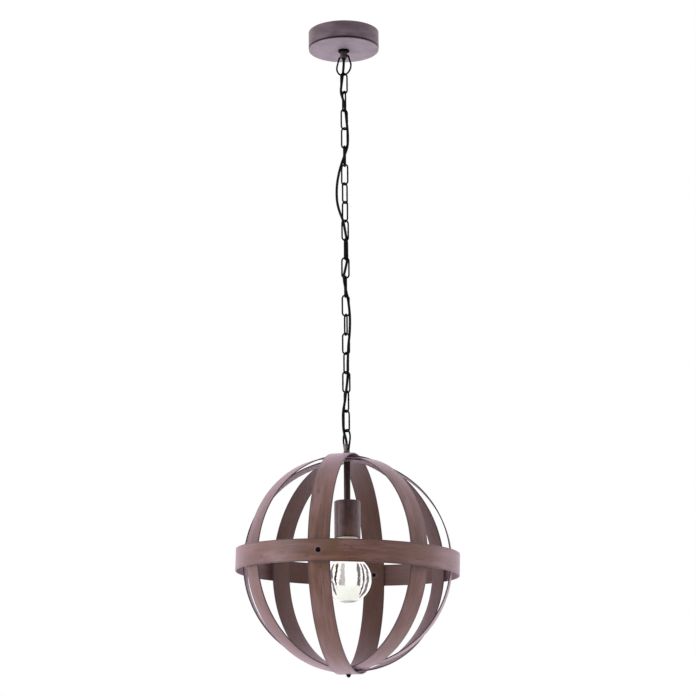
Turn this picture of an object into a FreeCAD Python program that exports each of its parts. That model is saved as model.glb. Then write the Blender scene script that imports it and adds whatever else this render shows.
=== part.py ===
import FreeCAD, Part
import math
import os

import Sketcher
from FreeCAD import Placement, Rotation, Vector

# Pendant light: a sphere cage of strip steel that hangs from a round canopy on a welded chain.
# Millimetres. The origin is the centre of the canopy's rim on the ceiling, +Z is up, -Y faces the viewer.

# Driving dimensions: alias, value, what it is
DIMENSIONS = [
    ("running_gap", 0.1, "gap between two pieces that move on each other"),
    ("seat_gap", 0.05, "gap between two pieces that are clamped together"),
    ("cut_overrun", 2.0, "how far a cutting tool runs past the piece"),
    ("canopy_diameter", 127.5, "canopy, outside"),
    ("canopy_height", 33.5, "canopy, from the ceiling to its underside"),
    ("canopy_wall", 1.0, "sheet of the canopy"),
    ("canopy_edge_radius", 1.6, "rounding of the canopy's lower edge"),
    ("bracket_length", 96.0, "ceiling bracket, end to end"),
    ("bracket_width", 22.0, "ceiling bracket, width of its strip"),
    ("bracket_thickness", 1.5, "ceiling bracket, strip thickness"),
    ("bracket_drop", 11.0, "how far the middle of the bracket lies below the ceiling"),
    ("bracket_middle", 44.0, "length of the bracket's lowered middle"),
    ("bracket_slope", 4.0, "how far the bracket's bends lean"),
    ("bracket_slot_length", 10.0, "ceiling screw slots, end to end"),
    ("bracket_slot_width", 4.6, "ceiling screw slots, width"),
    ("bracket_margin", 6.0, "from a ceiling screw's slot to the bracket's end"),
    ("nipple_diameter", 10.0, "threaded nipple through bracket and canopy"),
    ("nipple_bore", 6.4, "its cord passage"),
    ("nipple_rise", 5.0, "how far the nipple stands above the bracket"),
    ("hex_nut_flats", 14.0, "nuts on the nipple, across flats"),
    ("hex_nut_height", 3.2, "nuts on the nipple, height"),
    ("flange_nut_diameter", 20.6, "round nut under the canopy"),
    ("flange_nut_height", 3.6, "its height"),
    ("socket_diameter", 13.0, "stem that holds the upper bail"),
    ("socket_length", 11.3, "its length"),
    ("socket_thread_depth", 5.0, "how deep the nipple goes into it"),
    ("bush_diameter", 7.4, "bush round the cord where it leaves the stem"),
    ("bush_tip_diameter", 6.2, "its lower end"),
    ("bush_length", 4.6, "how far it stands out"),
    ("bail_wire", 3.2, "wire of the two bails"),
    ("bail_loop_radius", 15.6, "round end of a bail, to the middle of its wire"),
    ("bail_height", 35.6, "from the pins to the round end, to the middle of the wire"),
    ("bail_shoulder", 7.4, "from the middle to where a bail's pin starts to bend"),
    ("bail_corner_radius", 3.0, "bend between pin and leg, to the middle of the wire"),
    ("bail_pin_reach", 4.4, "from the middle to the inner end of a bail's pin"),
    ("ceiling_pin_rise", 3.1, "upper bail's pins above the lower end of their stem"),
    ("ceiling_bail_angle", -35.0, "direction of the upper bail, degrees"),
    ("cage_bail_angle", -68.0, "direction of the lower bail, degrees"),
    ("link_wire", 3.0, "wire of the chain"),
    ("link_length", 40.7, "chain link, outside"),
    ("link_width", 15.4, "chain link, outside"),
    ("cord_diameter", 4.6, "supply cord"),
    ("hanger_diameter", 12.4, "tube on top of the cage"),
    ("hanger_length", 16.4, "its length above the washer"),
    ("hanger_bore", 8.0, "its mouth, for the cord"),
    ("hanger_mouth_depth", 13.0, "depth of the wide mouth"),
    ("hanger_pin_rise", 6.6, "lower bail's pins above the tube's lower end"),
    ("neck_diameter", 8.0, "threaded neck through the hoops"),
    ("neck_length", 30.0, "its length below the tube"),
    ("neck_bore", 5.4, "cord passage through the neck"),
    ("top_washer_diameter", 16.5, "washer under the tube"),
    ("top_washer_thickness", 1.6, "its thickness"),
    ("strip_width", 38.0, "strip of the hoops and of the band"),
    ("strip_thickness", 2.0, "strip of the hoops and of the band"),
    ("hoop_radius", 190.0, "outermost hoop, outside"),
    ("hoop_step", 3.4, "how much smaller the radius of each next hoop is"),
    ("hoop_washer_diameter", 16.0, "washers between the hoops at the poles"),
    ("hoop_outer_angle", -14.5, "direction of the outermost hoop, degrees"),
    ("hoop_second_angle", -59.6, "direction of the second hoop, degrees"),
    ("hoop_third_angle", 40.9, "direction of the third hoop, degrees"),
    ("hoop_inner_angle", 83.8, "direction of the innermost hoop, degrees"),
    ("strip_edge_radius", 0.4, "rounding of the strips' long edges"),
    ("band_gap", 1.4, "gap between the outermost hoop and the inside of the band"),
    ("band_tilt_angle", 1.8, "how far the band leans about its two rivets, degrees"),
    ("rivet_diameter", 3.9, "shank of the two rivets that the band turns on"),
    ("rivet_head", 8.4, "their outer heads"),
    ("rivet_head_height", 2.2, "their outer heads"),
    ("rivet_foot", 6.4, "their flat inner heads"),
    ("rivet_foot_height", 0.9, "their flat inner heads"),
    ("band_spacer_diameter", 8.0, "spacers between the band and the outer hoop"),
    ("stem_diameter", 11.4, "stem tube inside the cage"),
    ("stem_bore", 8.2, "its bore"),
    ("stem_washer_thickness", 1.2, "washer between stem tube and innermost hoop"),
    ("stem_length", 79.2, "stem tube"),
    ("stem_in_cover", 11.2, "how far the stem tube reaches down into the lampholder cover"),
    ("cover_diameter", 45.5, "lampholder cover, outside"),
    ("cover_height", 65.0, "lampholder cover"),
    ("cover_wall", 1.0, "its sheet"),
    ("cover_edge_radius", 3.0, "rounding of its upper edge"),
    ("cover_nut_flats", 17.0, "nut on the stem tube inside the cover"),
    ("cover_nut_height", 3.6, "its height"),
    ("holder_diameter", 38.0, "ceramic lampholder"),
    ("holder_gap", 4.6, "from the stem tube's lower end to the top of the lampholder"),
    ("holder_proud", 2.2, "how far it stands out of the cover"),
    ("holder_bore", 30.0, "its mouth"),
    ("holder_bore_depth", 33.0, "depth of the mouth"),
    ("holder_neck_diameter", 22.0, "its narrow upper end"),
    ("holder_neck_height", 10.0, "its narrow upper end"),
    ("holder_wire_hole", 8.0, "wire passage through its top"),
    ("shell_diameter", 28.6, "screw shell in the lampholder, outside"),
    ("shell_wall", 0.5, "its sheet"),
    ("shell_length", 25.0, "its length"),
    ("contact_width", 8.0, "centre contact of the lampholder"),
    ("contact_thickness", 0.6, "centre contact of the lampholder"),
    ("contact_rise", 1.5, "height of the centre contact's tongue"),
    ("bulb_cap_diameter", 26.4, "screw cap of the bulb"),
    ("bulb_cap_length", 20.0, "screw cap of the bulb"),
    ("bulb_cap_wall", 0.4, "its sheet"),
    ("bulb_insulator_height", 4.0, "insulator at the cap's end"),
    ("bulb_insulator_diameter", 15.0, "insulator at the cap's end"),
    ("bulb_contact_diameter", 9.0, "end contact of the bulb"),
    ("bulb_contact_height", 1.6, "end contact of the bulb"),
    ("bulb_radius", 40.8, "bulb, its globe"),
    ("bulb_neck_radius", 12.4, "bulb, its neck inside the cap"),
    ("bulb_neck_length", 10.5, "bulb, straight neck below the cap"),
    ("bulb_length", 140.7, "bulb, from its end contact to its lowest point"),
    ("bulb_wall", 0.8, "glass of the bulb"),
    ("bulb_stem_radius", 5.0, "glass stem inside the bulb"),
    ("bulb_stem_length", 62.0, "glass stem inside the bulb"),
    ("filament_wire", 1.0, "filament rods"),
    ("filament_length", 34.0, "filament rods"),
    ("filament_spread", 9.0, "from the bulb's middle to the lower end of a filament rod"),
    ("lead_wire", 0.8, "wires that carry the filaments"),
    ("bolt_diameter", 5.0, "bolt through the hoops at the lower pole"),
    ("bolt_head_flats", 8.0, "its head"),
    ("bolt_head_height", 3.5, "its head"),
    ("cap_nut_flats", 7.6, "dome nut under the cage, across its flats"),
    ("cap_nut_base", 2.2, "hexagon part of the dome nut"),
    ("cap_nut_dome", 6.8, "dome of the nut, across"),
    ("block_length", 20.0, "terminal block"),
    ("block_width", 11.0, "terminal block"),
    ("block_height", 8.5, "terminal block"),
    ("block_offset", 15.0, "from the nipple to the middle of the terminal block"),
    ("core_diameter", 1.8, "insulated cores of the cord"),
    ("core_spacing", 2.1, "distance between the cores"),
    ("core_bend", 2.5, "bend of the cores over the nipple, to their middle"),
    ("core_rise", 2.0, "height of the cores over the nipple"),
    ("lead_end_drop", 8.0, "how far the lead's sheath reaches below the cover's top"),
    ("earth_screw_diameter", 4.0, "earth screw in the bracket"),
    ("earth_screw_length", 6.0, "earth screw in the bracket"),
    ("earth_screw_place", -14.0, "from the nipple to the earth screw"),
    ("earth_screw_head", 7.5, "its head"),
    ("earth_screw_head_height", 2.4, "its head"),
]

# Directions of the chain links' planes, in degrees, from the top link down
LINK_TURNS = [27, -66, 30, -36, 78, -30, 50, -45, 27, -78, 0, -78, 16, -70, 19, -52, 12, -54, 42]

# Route of the supply cord, from the upper stem to the tube on the cage: out through the bush, then
# in and out of the links, with a loose bow beside the chain a quarter of the way down
CORD_ROUTE = [
    (0, 0, -44),
    (0, 0, -58),
    (-1, 3.5, -69),
    (-2.4, 7.6, -81),
    (-4.5, 5.5, -97),
    (-6.4, 1.8, -114),
    (-0.5, 0.4, -131),
    (2.6, 6.9, -149),
    (4, 7.5, -166),
    (6, 7.5, -184),
    (6.5, 4, -201),
    (5.4, 2.2, -218),
    (-1, -1, -236),
    (-6.5, -3.5, -253),
    (-11, -3, -270),
    (-14, -2, -288),
    (-14.8, -1.5, -305),
    (-14, -3, -322),
    (-10, -5, -340),
    (-3.4, -8, -357),
    (0, 0, -374),
    (3.2, 7.5, -391.5),
    (3.1, 6, -409),
    (3.4, 6.6, -426.5),
    (0.1, -0.6, -444),
    (-3.7, -7.6, -461),
    (-0.8, -0.6, -478),
    (3.9, 6.4, -496),
    (6, 6.8, -513),
    (7.4, 6.8, -531),
    (7.2, 6.6, -548),
    (6.2, 6.8, -565),
    (4, 6.5, -583),
    (3.4, 5.8, -600),
    (2.5, 5.3, -617),
    (2.9, 6.2, -634),
    (1.4, -1, -652),
    (-0.6, -8.3, -669.5),
    (-3, -3.2, -687),
    (-6.3, 1.3, -703),
    (-6.2, 1.5, -719.5),
    (-5.7, 1.6, -736.5),
    (-1.4, 0.4, -750.5),
    (0, 0, -762),
    (0, 0, -772),
]
# How much of the shorter run beside a corner its arc takes up
ARC_REACH_SHARE = 0.45
CORE_COUNT = 3

FULL_TURN = 360.0
HALF_TURN = 180.0
QUARTER_TURN = 90.0
HEXAGON = 6
# Two lengths nearer than this are the same
SAME_LENGTH = 1e-4

doc = FreeCAD.newDocument("PendantLight")
sheet = doc.addObject("Spreadsheet::Sheet", "Dimensions")
for row, (alias, value, note) in enumerate(DIMENSIONS, 1):
    sheet.set(f"A{row}", note)
    sheet.set(f"B{row}", str(value))
    sheet.setAlias(f"B{row}", alias)
doc.recompute()


class Size:
    """A number together with the expression that gives it from the sheet."""

    def __init__(self, value, text):
        self.value = float(value)
        self.text = text

    def __add__(self, other):
        other = as_size(other)
        return Size(self.value + other.value, f"({self.text} + {other.text})")

    def __sub__(self, other):
        other = as_size(other)
        return Size(self.value - other.value, f"({self.text} - {other.text})")

    def __mul__(self, other):
        other = as_size(other)
        return Size(self.value * other.value, f"({self.text} * {other.text})")

    def __truediv__(self, other):
        other = as_size(other)
        return Size(self.value / other.value, f"({self.text} / {other.text})")

    def __neg__(self):
        return Size(-self.value, f"(0 - {self.text})")


def as_size(number):
    return number if isinstance(number, Size) else Size(number, repr(number))


def root(size):
    return Size(math.sqrt(size.value), f"sqrt({size.text})")


class Cells:
    """The sheet's cells as sizes, by alias."""

    def __getattr__(self, alias):
        return Size(sheet.get(alias), f"Dimensions.{alias}")


d = Cells()
nodes = []


def bind(obj, prop, size):
    obj.setExpression(prop, as_size(size).text)


def lift(obj, height):
    """Puts an object's origin at a height, and keeps it bound to the sheet."""
    obj.Placement.Base.z = as_size(height).value
    bind(obj, "Placement.Base.z", height)


def node(obj, name):
    """Names a finished sub-part after the file that it is written to."""
    obj.Label = name
    nodes.append(obj)
    return obj


def cylinder(name, radius, height, low=None, rotation=None):
    obj = doc.addObject("Part::Cylinder", name)
    bind(obj, "Radius", radius)
    bind(obj, "Height", height)
    if rotation is not None:
        obj.Placement = Placement(Vector(), rotation)
    if low is not None:
        lift(obj, low)
    return obj


def box(name, length, width, height, low=0):
    """A block centred on the Z axis, with its lower face at a height."""
    obj = doc.addObject("Part::Box", name)
    bind(obj, "Length", length)
    bind(obj, "Width", width)
    bind(obj, "Height", height)
    bind(obj, "Placement.Base.x", -length / 2)
    bind(obj, "Placement.Base.y", -width / 2)
    lift(obj, low)
    return obj


def corner_radius(flats):
    """From a hexagon's middle to its corners, from its size across flats."""
    return flats / 2 / math.cos(math.pi / HEXAGON)


def prism(name, flats, height, low=None):
    """A hexagon bar, sized across its flats."""
    obj = doc.addObject("Part::Prism", name)
    obj.Polygon = HEXAGON
    bind(obj, "Circumradius", corner_radius(flats))
    bind(obj, "Height", height)
    if low is not None:
        lift(obj, low)
    return obj


def cut(name, base, tool):
    obj = doc.addObject("Part::Cut", name)
    obj.Base = base
    obj.Tool = tool
    return obj


def fuse(name, shapes):
    obj = doc.addObject("Part::MultiFuse", name)
    obj.Shapes = shapes
    return obj


def group(name, shapes):
    """Separate solids of one kind in one node."""
    obj = doc.addObject("Part::Compound", name)
    obj.Links = shapes
    return obj


def origin_plane(body, role):
    return next(f for f in body.Origin.OriginFeatures if f.Role == role)


def new_sketch(body, name, role):
    sketch = body.newObject("Sketcher::SketchObject", name)
    sketch.AttachmentSupport = (origin_plane(body, role), [""])
    sketch.MapMode = "FlatFace"
    return sketch


def pin_vertex(sketch, geometry, end, across, up):
    """Holds one end of a sketch line at a place that the sheet gives."""
    for kind, axis, size in (("DistanceX", -2, across), ("DistanceY", -1, up)):
        size = as_size(size)
        if size.value == 0:
            sketch.addConstraint(Sketcher.Constraint("PointOnObject", geometry, end, axis))
            continue
        index = sketch.addConstraint(Sketcher.Constraint(kind, -1, 1, geometry, end, size.value))
        sketch.setExpression(f"Constraints[{index}]", size.text)


def outline_sketch(body, name, role, outline):
    """A closed outline of straight lines, each corner held by the sheet."""
    sketch = new_sketch(body, name, role)
    corners = [Vector(as_size(a).value, as_size(b).value, 0) for a, b in outline]
    count = len(corners)
    for i in range(count):
        sketch.addGeometry(Part.LineSegment(corners[i], corners[(i + 1) % count]), False)
    for i in range(count):
        sketch.addConstraint(Sketcher.Constraint("Coincident", i, 2, (i + 1) % count, 1))
    for i, (across, up) in enumerate(outline):
        pin_vertex(sketch, i, 1, across, up)
    return sketch


def turned(name, outline):
    """A body turned about Z from an outline of (radius, height) corners."""
    body = doc.addObject("PartDesign::Body", name)
    sketch = outline_sketch(body, f"{name}_profile", "XZ_Plane", outline)
    turn = body.newObject("PartDesign::Revolution", f"{name}_turn")
    turn.Profile = sketch
    turn.ReferenceAxis = (sketch, ["V_Axis"])
    turn.Angle = FULL_TURN
    body.Tip = turn
    return body


def ring(name, outer, inner, low, high):
    """A plain washer or tube, turned about Z."""
    return turned(name, [(inner, low), (outer, low), (outer, high), (inner, high)])


def round_edges(body, name, radius, edges):
    """Fillets the edges of a body's last feature that a test picks out."""
    doc.recompute()
    tip = body.Tip
    picked = [f"Edge{i}" for i, e in enumerate(tip.Shape.Edges, 1) if edges(e)]
    fillet = body.newObject("PartDesign::Fillet", name)
    fillet.Base = (tip, picked)
    bind(fillet, "Radius", radius)
    body.Tip = fillet
    return fillet


def circle_at(radius, height):
    """A test for a round edge of this radius at this height in the body's own frame."""
    def test(edge):
        curve = edge.Curve
        return (
            isinstance(curve, Part.Circle)
            and math.isclose(curve.Radius, radius.value, abs_tol=SAME_LENGTH)
            and math.isclose(curve.Center.z, height.value, abs_tol=SAME_LENGTH)
        )
    return test


# The hoops from the outermost in, with their directions
HOOPS = [
    ("hoop_outer", d.hoop_outer_angle),
    ("hoop_second", d.hoop_second_angle),
    ("hoop_third", d.hoop_third_angle),
    ("hoop_inner", d.hoop_inner_angle),
]
OUTERMOST = 0
INNERMOST = len(HOOPS) - 1


def hoop_radius(place):
    """Outside radius of a hoop, counted from the outermost."""
    return d.hoop_radius - d.hoop_step * place


def sagitta(radius, half_chord):
    """How far a round surface drops away over half a chord."""
    return radius - root(radius * radius - half_chord * half_chord)


def stem_washer_faces():
    """Lower and upper face of the washer under the innermost hoop, from the cage's centre."""
    inner = hoop_radius(INNERMOST) - d.strip_thickness
    high = inner - sagitta(inner, d.hoop_washer_diameter / 2) - d.seat_gap
    return high - d.stem_washer_thickness, high


# Heights down the axis, each from the pieces above it
NONE = Size(0, "0")
canopy_under = -d.canopy_height
flange_under = canopy_under - d.flange_nut_height
socket_under = flange_under - d.socket_length
ceiling_pins = socket_under + d.ceiling_pin_rise
ceiling_loop = ceiling_pins - d.bail_height
hook_step = (d.bail_wire + d.link_wire) / 2 + d.running_gap
first_link = ceiling_loop + hook_step
link_pitch = d.link_length - d.link_wire * 2 - d.running_gap
link_reach = d.link_length - d.link_wire
last_link_low = first_link - link_pitch * (len(LINK_TURNS) - 1) - link_reach
cage_loop = last_link_low + hook_step
cage_pins = cage_loop - d.bail_height
hanger_under = cage_pins - d.hanger_pin_rise
cage_top = hanger_under - d.top_washer_thickness
cage_centre = cage_top - d.hoop_radius
stem_top = cage_centre + stem_washer_faces()[0] - d.seat_gap
stem_low = stem_top - d.stem_length
cover_top = stem_low + d.stem_in_cover
cover_under = cover_top - d.cover_height
holder_under = cover_under - d.holder_proud
holder_top = stem_low - d.holder_gap
holder_ceiling = holder_under + d.holder_bore_depth
bulb_top = holder_ceiling - d.contact_thickness - d.contact_rise - d.seat_gap * 2
bulb_contact_low = bulb_top - d.bulb_contact_height
bulb_insulator_low = bulb_contact_low - d.bulb_insulator_height
bulb_cap_low = bulb_insulator_low - d.bulb_cap_length
globe_centre = bulb_top - d.bulb_length + d.bulb_radius
band_radius = d.hoop_radius + d.band_gap + d.strip_thickness


def canopy():
    outer = d.canopy_diameter / 2
    inner = outer - d.canopy_wall
    hole = d.nipple_diameter / 2 + d.running_gap
    body = turned("canopy", [
        (hole, -d.canopy_height),
        (outer, -d.canopy_height),
        (outer, NONE),
        (inner, NONE),
        (inner, -d.canopy_height + d.canopy_wall),
        (hole, -d.canopy_height + d.canopy_wall),
    ])
    round_edges(body, "canopy_edge", d.canopy_edge_radius, circle_at(outer, -d.canopy_height))
    node(body, "canopy")


def ceiling_bracket():
    """A strip with two feet on the ceiling and a lowered middle that carries the nipple."""
    body = doc.addObject("PartDesign::Body", "ceiling_bracket")
    end = d.bracket_length / 2
    middle = d.bracket_middle / 2
    bend = middle + d.bracket_slope
    sheet_metal = d.bracket_thickness
    low = -d.bracket_drop
    sketch = outline_sketch(body, "bracket_profile", "XZ_Plane", [
        (-end, NONE),
        (-end, -sheet_metal),
        (-bend, -sheet_metal),
        (-middle, low - sheet_metal),
        (middle, low - sheet_metal),
        (bend, -sheet_metal),
        (end, -sheet_metal),
        (end, NONE),
        (bend + sheet_metal, NONE),
        (middle + sheet_metal, low),
        (-middle - sheet_metal, low),
        (-bend - sheet_metal, NONE),
    ])
    pad = body.newObject("PartDesign::Pad", "bracket_strip")
    pad.Profile = sketch
    bind(pad, "Length", d.bracket_width)
    pad.SideType = "Symmetric"
    body.Tip = pad
    holes = new_sketch(body, "bracket_holes", "XY_Plane")
    screw = end - d.bracket_margin - d.bracket_slot_length / 2
    for centre in (-screw, screw):
        add_slot(holes, centre, d.bracket_slot_length, d.bracket_slot_width)
    add_hole(holes, NONE, d.nipple_diameter / 2 + d.running_gap)
    add_hole(holes, d.earth_screw_place, d.earth_screw_diameter / 2 + d.seat_gap)
    pocket = body.newObject("PartDesign::Pocket", "bracket_pocket")
    pocket.Profile = holes
    bind(pocket, "Length", (d.bracket_drop + d.bracket_thickness + d.cut_overrun) * 2)
    pocket.SideType = "Symmetric"
    body.Tip = pocket
    node(body, "ceiling_bracket")


def add_hole(sketch, across, radius):
    """A round hole on the sketch's own X axis."""
    across = as_size(across)
    circle = Part.Circle(Vector(across.value, 0, 0), Vector(0, 0, 1), radius.value)
    index = sketch.addGeometry(circle, False)
    pin_vertex(sketch, index, 3, across, NONE)
    number = sketch.addConstraint(Sketcher.Constraint("Radius", index, radius.value))
    sketch.setExpression(f"Constraints[{number}]", radius.text)


def add_slot(sketch, across, length, width):
    """A slot along the sketch's own X axis."""
    radius = width / 2
    reach = (length - width) / 2
    left = across - reach
    right = across + reach
    up = Vector(0, 0, 1)
    first = sketch.GeometryCount
    top = radius.value
    sketch.addGeometry([
        Part.ArcOfCircle(Part.Circle(Vector(left.value, 0, 0), up, top), math.pi / 2, 3 * math.pi / 2),
        Part.ArcOfCircle(Part.Circle(Vector(right.value, 0, 0), up, top), -math.pi / 2, math.pi / 2),
        Part.LineSegment(Vector(left.value, top, 0), Vector(right.value, top, 0)),
        Part.LineSegment(Vector(left.value, -top, 0), Vector(right.value, -top, 0)),
    ], False)
    pin_vertex(sketch, first, 3, left, NONE)
    pin_vertex(sketch, first + 1, 3, right, NONE)
    number = sketch.addConstraint(Sketcher.Constraint("Radius", first, top))
    sketch.setExpression(f"Constraints[{number}]", radius.text)
    for arc, arc_end, line, line_end in ((0, 1, 2, 1), (1, 2, 2, 2), (0, 2, 3, 1), (1, 1, 3, 2)):
        sketch.addConstraint(Sketcher.Constraint("Tangent", first + arc, arc_end, first + line, line_end))


def ceiling_nipple():
    low = flange_under - d.socket_thread_depth
    tube = ring("ceiling_nipple", d.nipple_diameter / 2, d.nipple_bore / 2, low, nipple_top())
    node(tube, "ceiling_nipple")


def nut(name, flats, height, bore, low):
    """A hexagon nut round the axis, with its lower face at a height."""
    blank = prism(f"{name}_blank", flats, height)
    hole = cylinder(f"{name}_hole", bore, height + d.cut_overrun * 2, -d.cut_overrun)
    piece = cut(name, blank, hole)
    lift(piece, low)
    return piece


def nipple_nuts():
    """One nut above the bracket, one below it and one inside the canopy."""
    bore = d.nipple_diameter / 2 + d.seat_gap
    seats = [
        ("upper", -d.bracket_drop + d.seat_gap),
        ("middle", -d.bracket_drop - d.bracket_thickness - d.seat_gap - d.hex_nut_height),
        ("lower", -d.canopy_height + d.canopy_wall + d.seat_gap),
    ]
    nuts = []
    for place, low in seats:
        nuts.append(nut(f"nipple_nut_{place}", d.hex_nut_flats, d.hex_nut_height, bore, low))
    node(group("nipple_nuts", nuts), "nipple_nuts")


def canopy_nut():
    bore = d.nipple_diameter / 2 + d.seat_gap
    top = canopy_under - d.seat_gap
    body = ring("canopy_nut", d.flange_nut_diameter / 2, bore, flange_under, top)
    node(body, "canopy_nut")


def pin_holes(name, direction, height):
    """A bar across a tube that cuts the two holes of a bail."""
    turn = Rotation(Vector(0, 0, 1), direction.value) * Rotation(Vector(0, 1, 0), QUARTER_TURN)
    bar = cylinder(f"{name}_bar", d.bail_wire / 2 + d.running_gap, d.hanger_diameter + d.cut_overrun * 2,
                   None, turn)
    reach = d.hanger_diameter.value / 2 + d.cut_overrun.value
    bar.Placement.Base = turn.multVec(Vector(0, 0, -reach))
    lift(bar, height)
    return bar


def bail_socket():
    bore = d.nipple_bore / 2
    thread = d.nipple_diameter / 2 + d.seat_gap
    top = flange_under - d.seat_gap
    shelf = flange_under - d.socket_thread_depth - d.seat_gap
    stem = turned("socket_stem", [
        (bore, socket_under),
        (d.socket_diameter / 2, socket_under),
        (d.socket_diameter / 2, top),
        (thread, top),
        (thread, shelf),
        (bore, shelf),
    ])
    piece = cut("bail_socket", stem, pin_holes("socket", d.ceiling_bail_angle, ceiling_pins))
    node(piece, "bail_socket")


def cord_bush():
    bore = d.cord_diameter / 2 + d.running_gap
    collar = d.nipple_bore / 2 - d.seat_gap
    top = socket_under + d.ceiling_pin_rise / 2
    low = socket_under - d.bush_length
    seat = socket_under - d.seat_gap
    body = turned("cord_bush", [
        (bore, low),
        (d.bush_tip_diameter / 2, low),
        (d.bush_diameter / 2, seat),
        (collar, seat),
        (collar, top),
        (bore, top),
    ])
    node(body, "cord_bush")


def bail(name, direction, pins, downward):
    """A bent wire loop with two pins that point at each other."""
    body = doc.addObject("PartDesign::Body", name)
    path = bail_path(body, name)
    profile = new_sketch(body, f"{name}_section", "YZ_Plane")
    profile.AttachmentOffset = Placement(Vector(0, 0, d.bail_pin_reach.value), Rotation())
    bind(profile, "AttachmentOffset.Base.z", d.bail_pin_reach)
    add_hole(profile, NONE, d.bail_wire / 2)
    pipe = body.newObject("PartDesign::AdditivePipe", f"{name}_wire")
    pipe.Profile = profile
    pipe.Spine = (path, [f"Edge{i + 1}" for i in range(path.GeometryCount)])
    body.Tip = pipe
    flip = Rotation() if downward else Rotation(Vector(1, 0, 0), HALF_TURN)
    body.Placement = Placement(Vector(), Rotation(Vector(0, 0, 1), direction.value) * flip)
    lift(body, pins)
    node(body, name)


def bail_path(body, name):
    """Pin, corner, leg, round end, leg, corner and pin, each tangent to the next."""
    sketch = new_sketch(body, f"{name}_path", "XZ_Plane")
    corner = d.bail_corner_radius.value
    loop = d.bail_loop_radius.value
    shoulder = d.bail_shoulder.value
    centre = d.bail_height - d.bail_loop_radius
    fall = centre.value - corner
    lean = math.atan2(-shoulder, fall) - math.acos((loop - corner) / math.hypot(shoulder, fall))
    side = Vector(-math.sin(lean), math.cos(lean), 0)
    near = Vector(shoulder, -corner, 0)
    far = Vector(0, -centre.value, 0)
    start = math.atan2(side.y, side.x)
    up = Vector(0, 0, 1)
    leg_top = near + side * corner
    leg_low = far + side * loop
    mirror = lambda p: Vector(-p.x, p.y, 0)
    sketch.addGeometry([
        Part.LineSegment(Vector(d.bail_pin_reach.value, 0, 0), Vector(shoulder, 0, 0)),
        Part.ArcOfCircle(Part.Circle(near, up, corner), start, math.pi / 2),
        Part.LineSegment(leg_top, leg_low),
        Part.ArcOfCircle(Part.Circle(far, up, loop), math.pi - start, 2 * math.pi + start),
        Part.LineSegment(mirror(leg_low), mirror(leg_top)),
        Part.ArcOfCircle(Part.Circle(mirror(near), up, corner), math.pi / 2, math.pi - start),
        Part.LineSegment(Vector(-shoulder, 0, 0), Vector(-d.bail_pin_reach.value, 0, 0)),
    ], False)
    joints = [(0, 2, 1, 2), (1, 1, 2, 1), (2, 2, 3, 2), (3, 1, 4, 1), (4, 2, 5, 2), (5, 1, 6, 1)]
    for first, first_end, second, second_end in joints:
        sketch.addConstraint(Sketcher.Constraint("Tangent", first, first_end, second, second_end))
    pin_vertex(sketch, 0, 1, d.bail_pin_reach, NONE)
    pin_vertex(sketch, 6, 2, -d.bail_pin_reach, NONE)
    sketch.addConstraint(Sketcher.Constraint("Horizontal", 0))
    sketch.addConstraint(Sketcher.Constraint("Horizontal", 6))
    pin_vertex(sketch, 3, 3, NONE, -centre)
    for geometry, radius in ((1, d.bail_corner_radius), (3, d.bail_loop_radius), (5, d.bail_corner_radius)):
        number = sketch.addConstraint(Sketcher.Constraint("Radius", geometry, radius.value))
        sketch.setExpression(f"Constraints[{number}]", radius.text)
    for geometry, across in ((1, d.bail_shoulder), (5, -d.bail_shoulder)):
        number = sketch.addConstraint(Sketcher.Constraint("DistanceX", -1, 1, geometry, 3, across.value))
        sketch.setExpression(f"Constraints[{number}]", across.text)
    return sketch


def chain_link(name, direction, top):
    """A welded oval link: two half rings and two straight legs, hung by the middle of its upper wire."""
    bend = (d.link_width - d.link_wire) / 2
    leg = link_reach - bend * 2
    wire = d.link_wire / 2
    pieces = []
    for part, tilt, centre in (("top", QUARTER_TURN, -bend), ("low", -QUARTER_TURN, -bend - leg)):
        half = doc.addObject("Part::Torus", f"{name}_{part}")
        bind(half, "Radius1", bend)
        bind(half, "Radius2", wire)
        half.Angle3 = HALF_TURN
        half.Placement = Placement(Vector(), Rotation(Vector(1, 0, 0), tilt))
        lift(half, centre)
        pieces.append(half)
    for part, across in (("left", -bend), ("right", bend)):
        rod = cylinder(f"{name}_{part}", wire, leg, -bend - leg)
        bind(rod, "Placement.Base.x", across)
        pieces.append(rod)
    link = fuse(name, pieces)
    link.Placement = Placement(Vector(), Rotation(Vector(0, 0, 1), direction))
    lift(link, top)
    node(link, name)


def chain():
    for i, direction in enumerate(LINK_TURNS):
        chain_link(f"link_{i + 1:02d}", direction, first_link - link_pitch * i)


def hanger_tube():
    """The tube on top of the cage, with its neck that goes down through the hoops."""
    outer = d.hanger_diameter / 2
    neck = d.neck_diameter / 2
    bore = d.neck_bore / 2
    top = hanger_under + d.hanger_length
    low = hanger_under - d.neck_length
    shelf = top - d.hanger_mouth_depth
    tube = turned("hanger_turned", [
        (bore, low),
        (neck, low),
        (neck, hanger_under),
        (outer, hanger_under),
        (outer, top),
        (d.hanger_bore / 2, top),
        (d.hanger_bore / 2, shelf),
        (bore, shelf),
    ])
    node(cut("hanger_tube", tube, pin_holes("hanger", d.cage_bail_angle, cage_pins)), "hanger_tube")


def top_washer():
    bore = d.neck_diameter / 2 + d.running_gap
    top = hanger_under - d.seat_gap
    low = cage_top + d.seat_gap
    node(ring("top_washer", d.top_washer_diameter / 2, bore, low, top), "top_washer")


def strip_ring(name, outer):
    """A closed ring of strip round its own Z axis, with its long edges rounded."""
    half = d.strip_width / 2
    strip = ring(f"{name}_strip", outer, outer - d.strip_thickness, -half, half)
    round_edges(strip, f"{name}_edges", d.strip_edge_radius, lambda edge: isinstance(edge.Curve, Part.Circle))
    return strip


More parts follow.
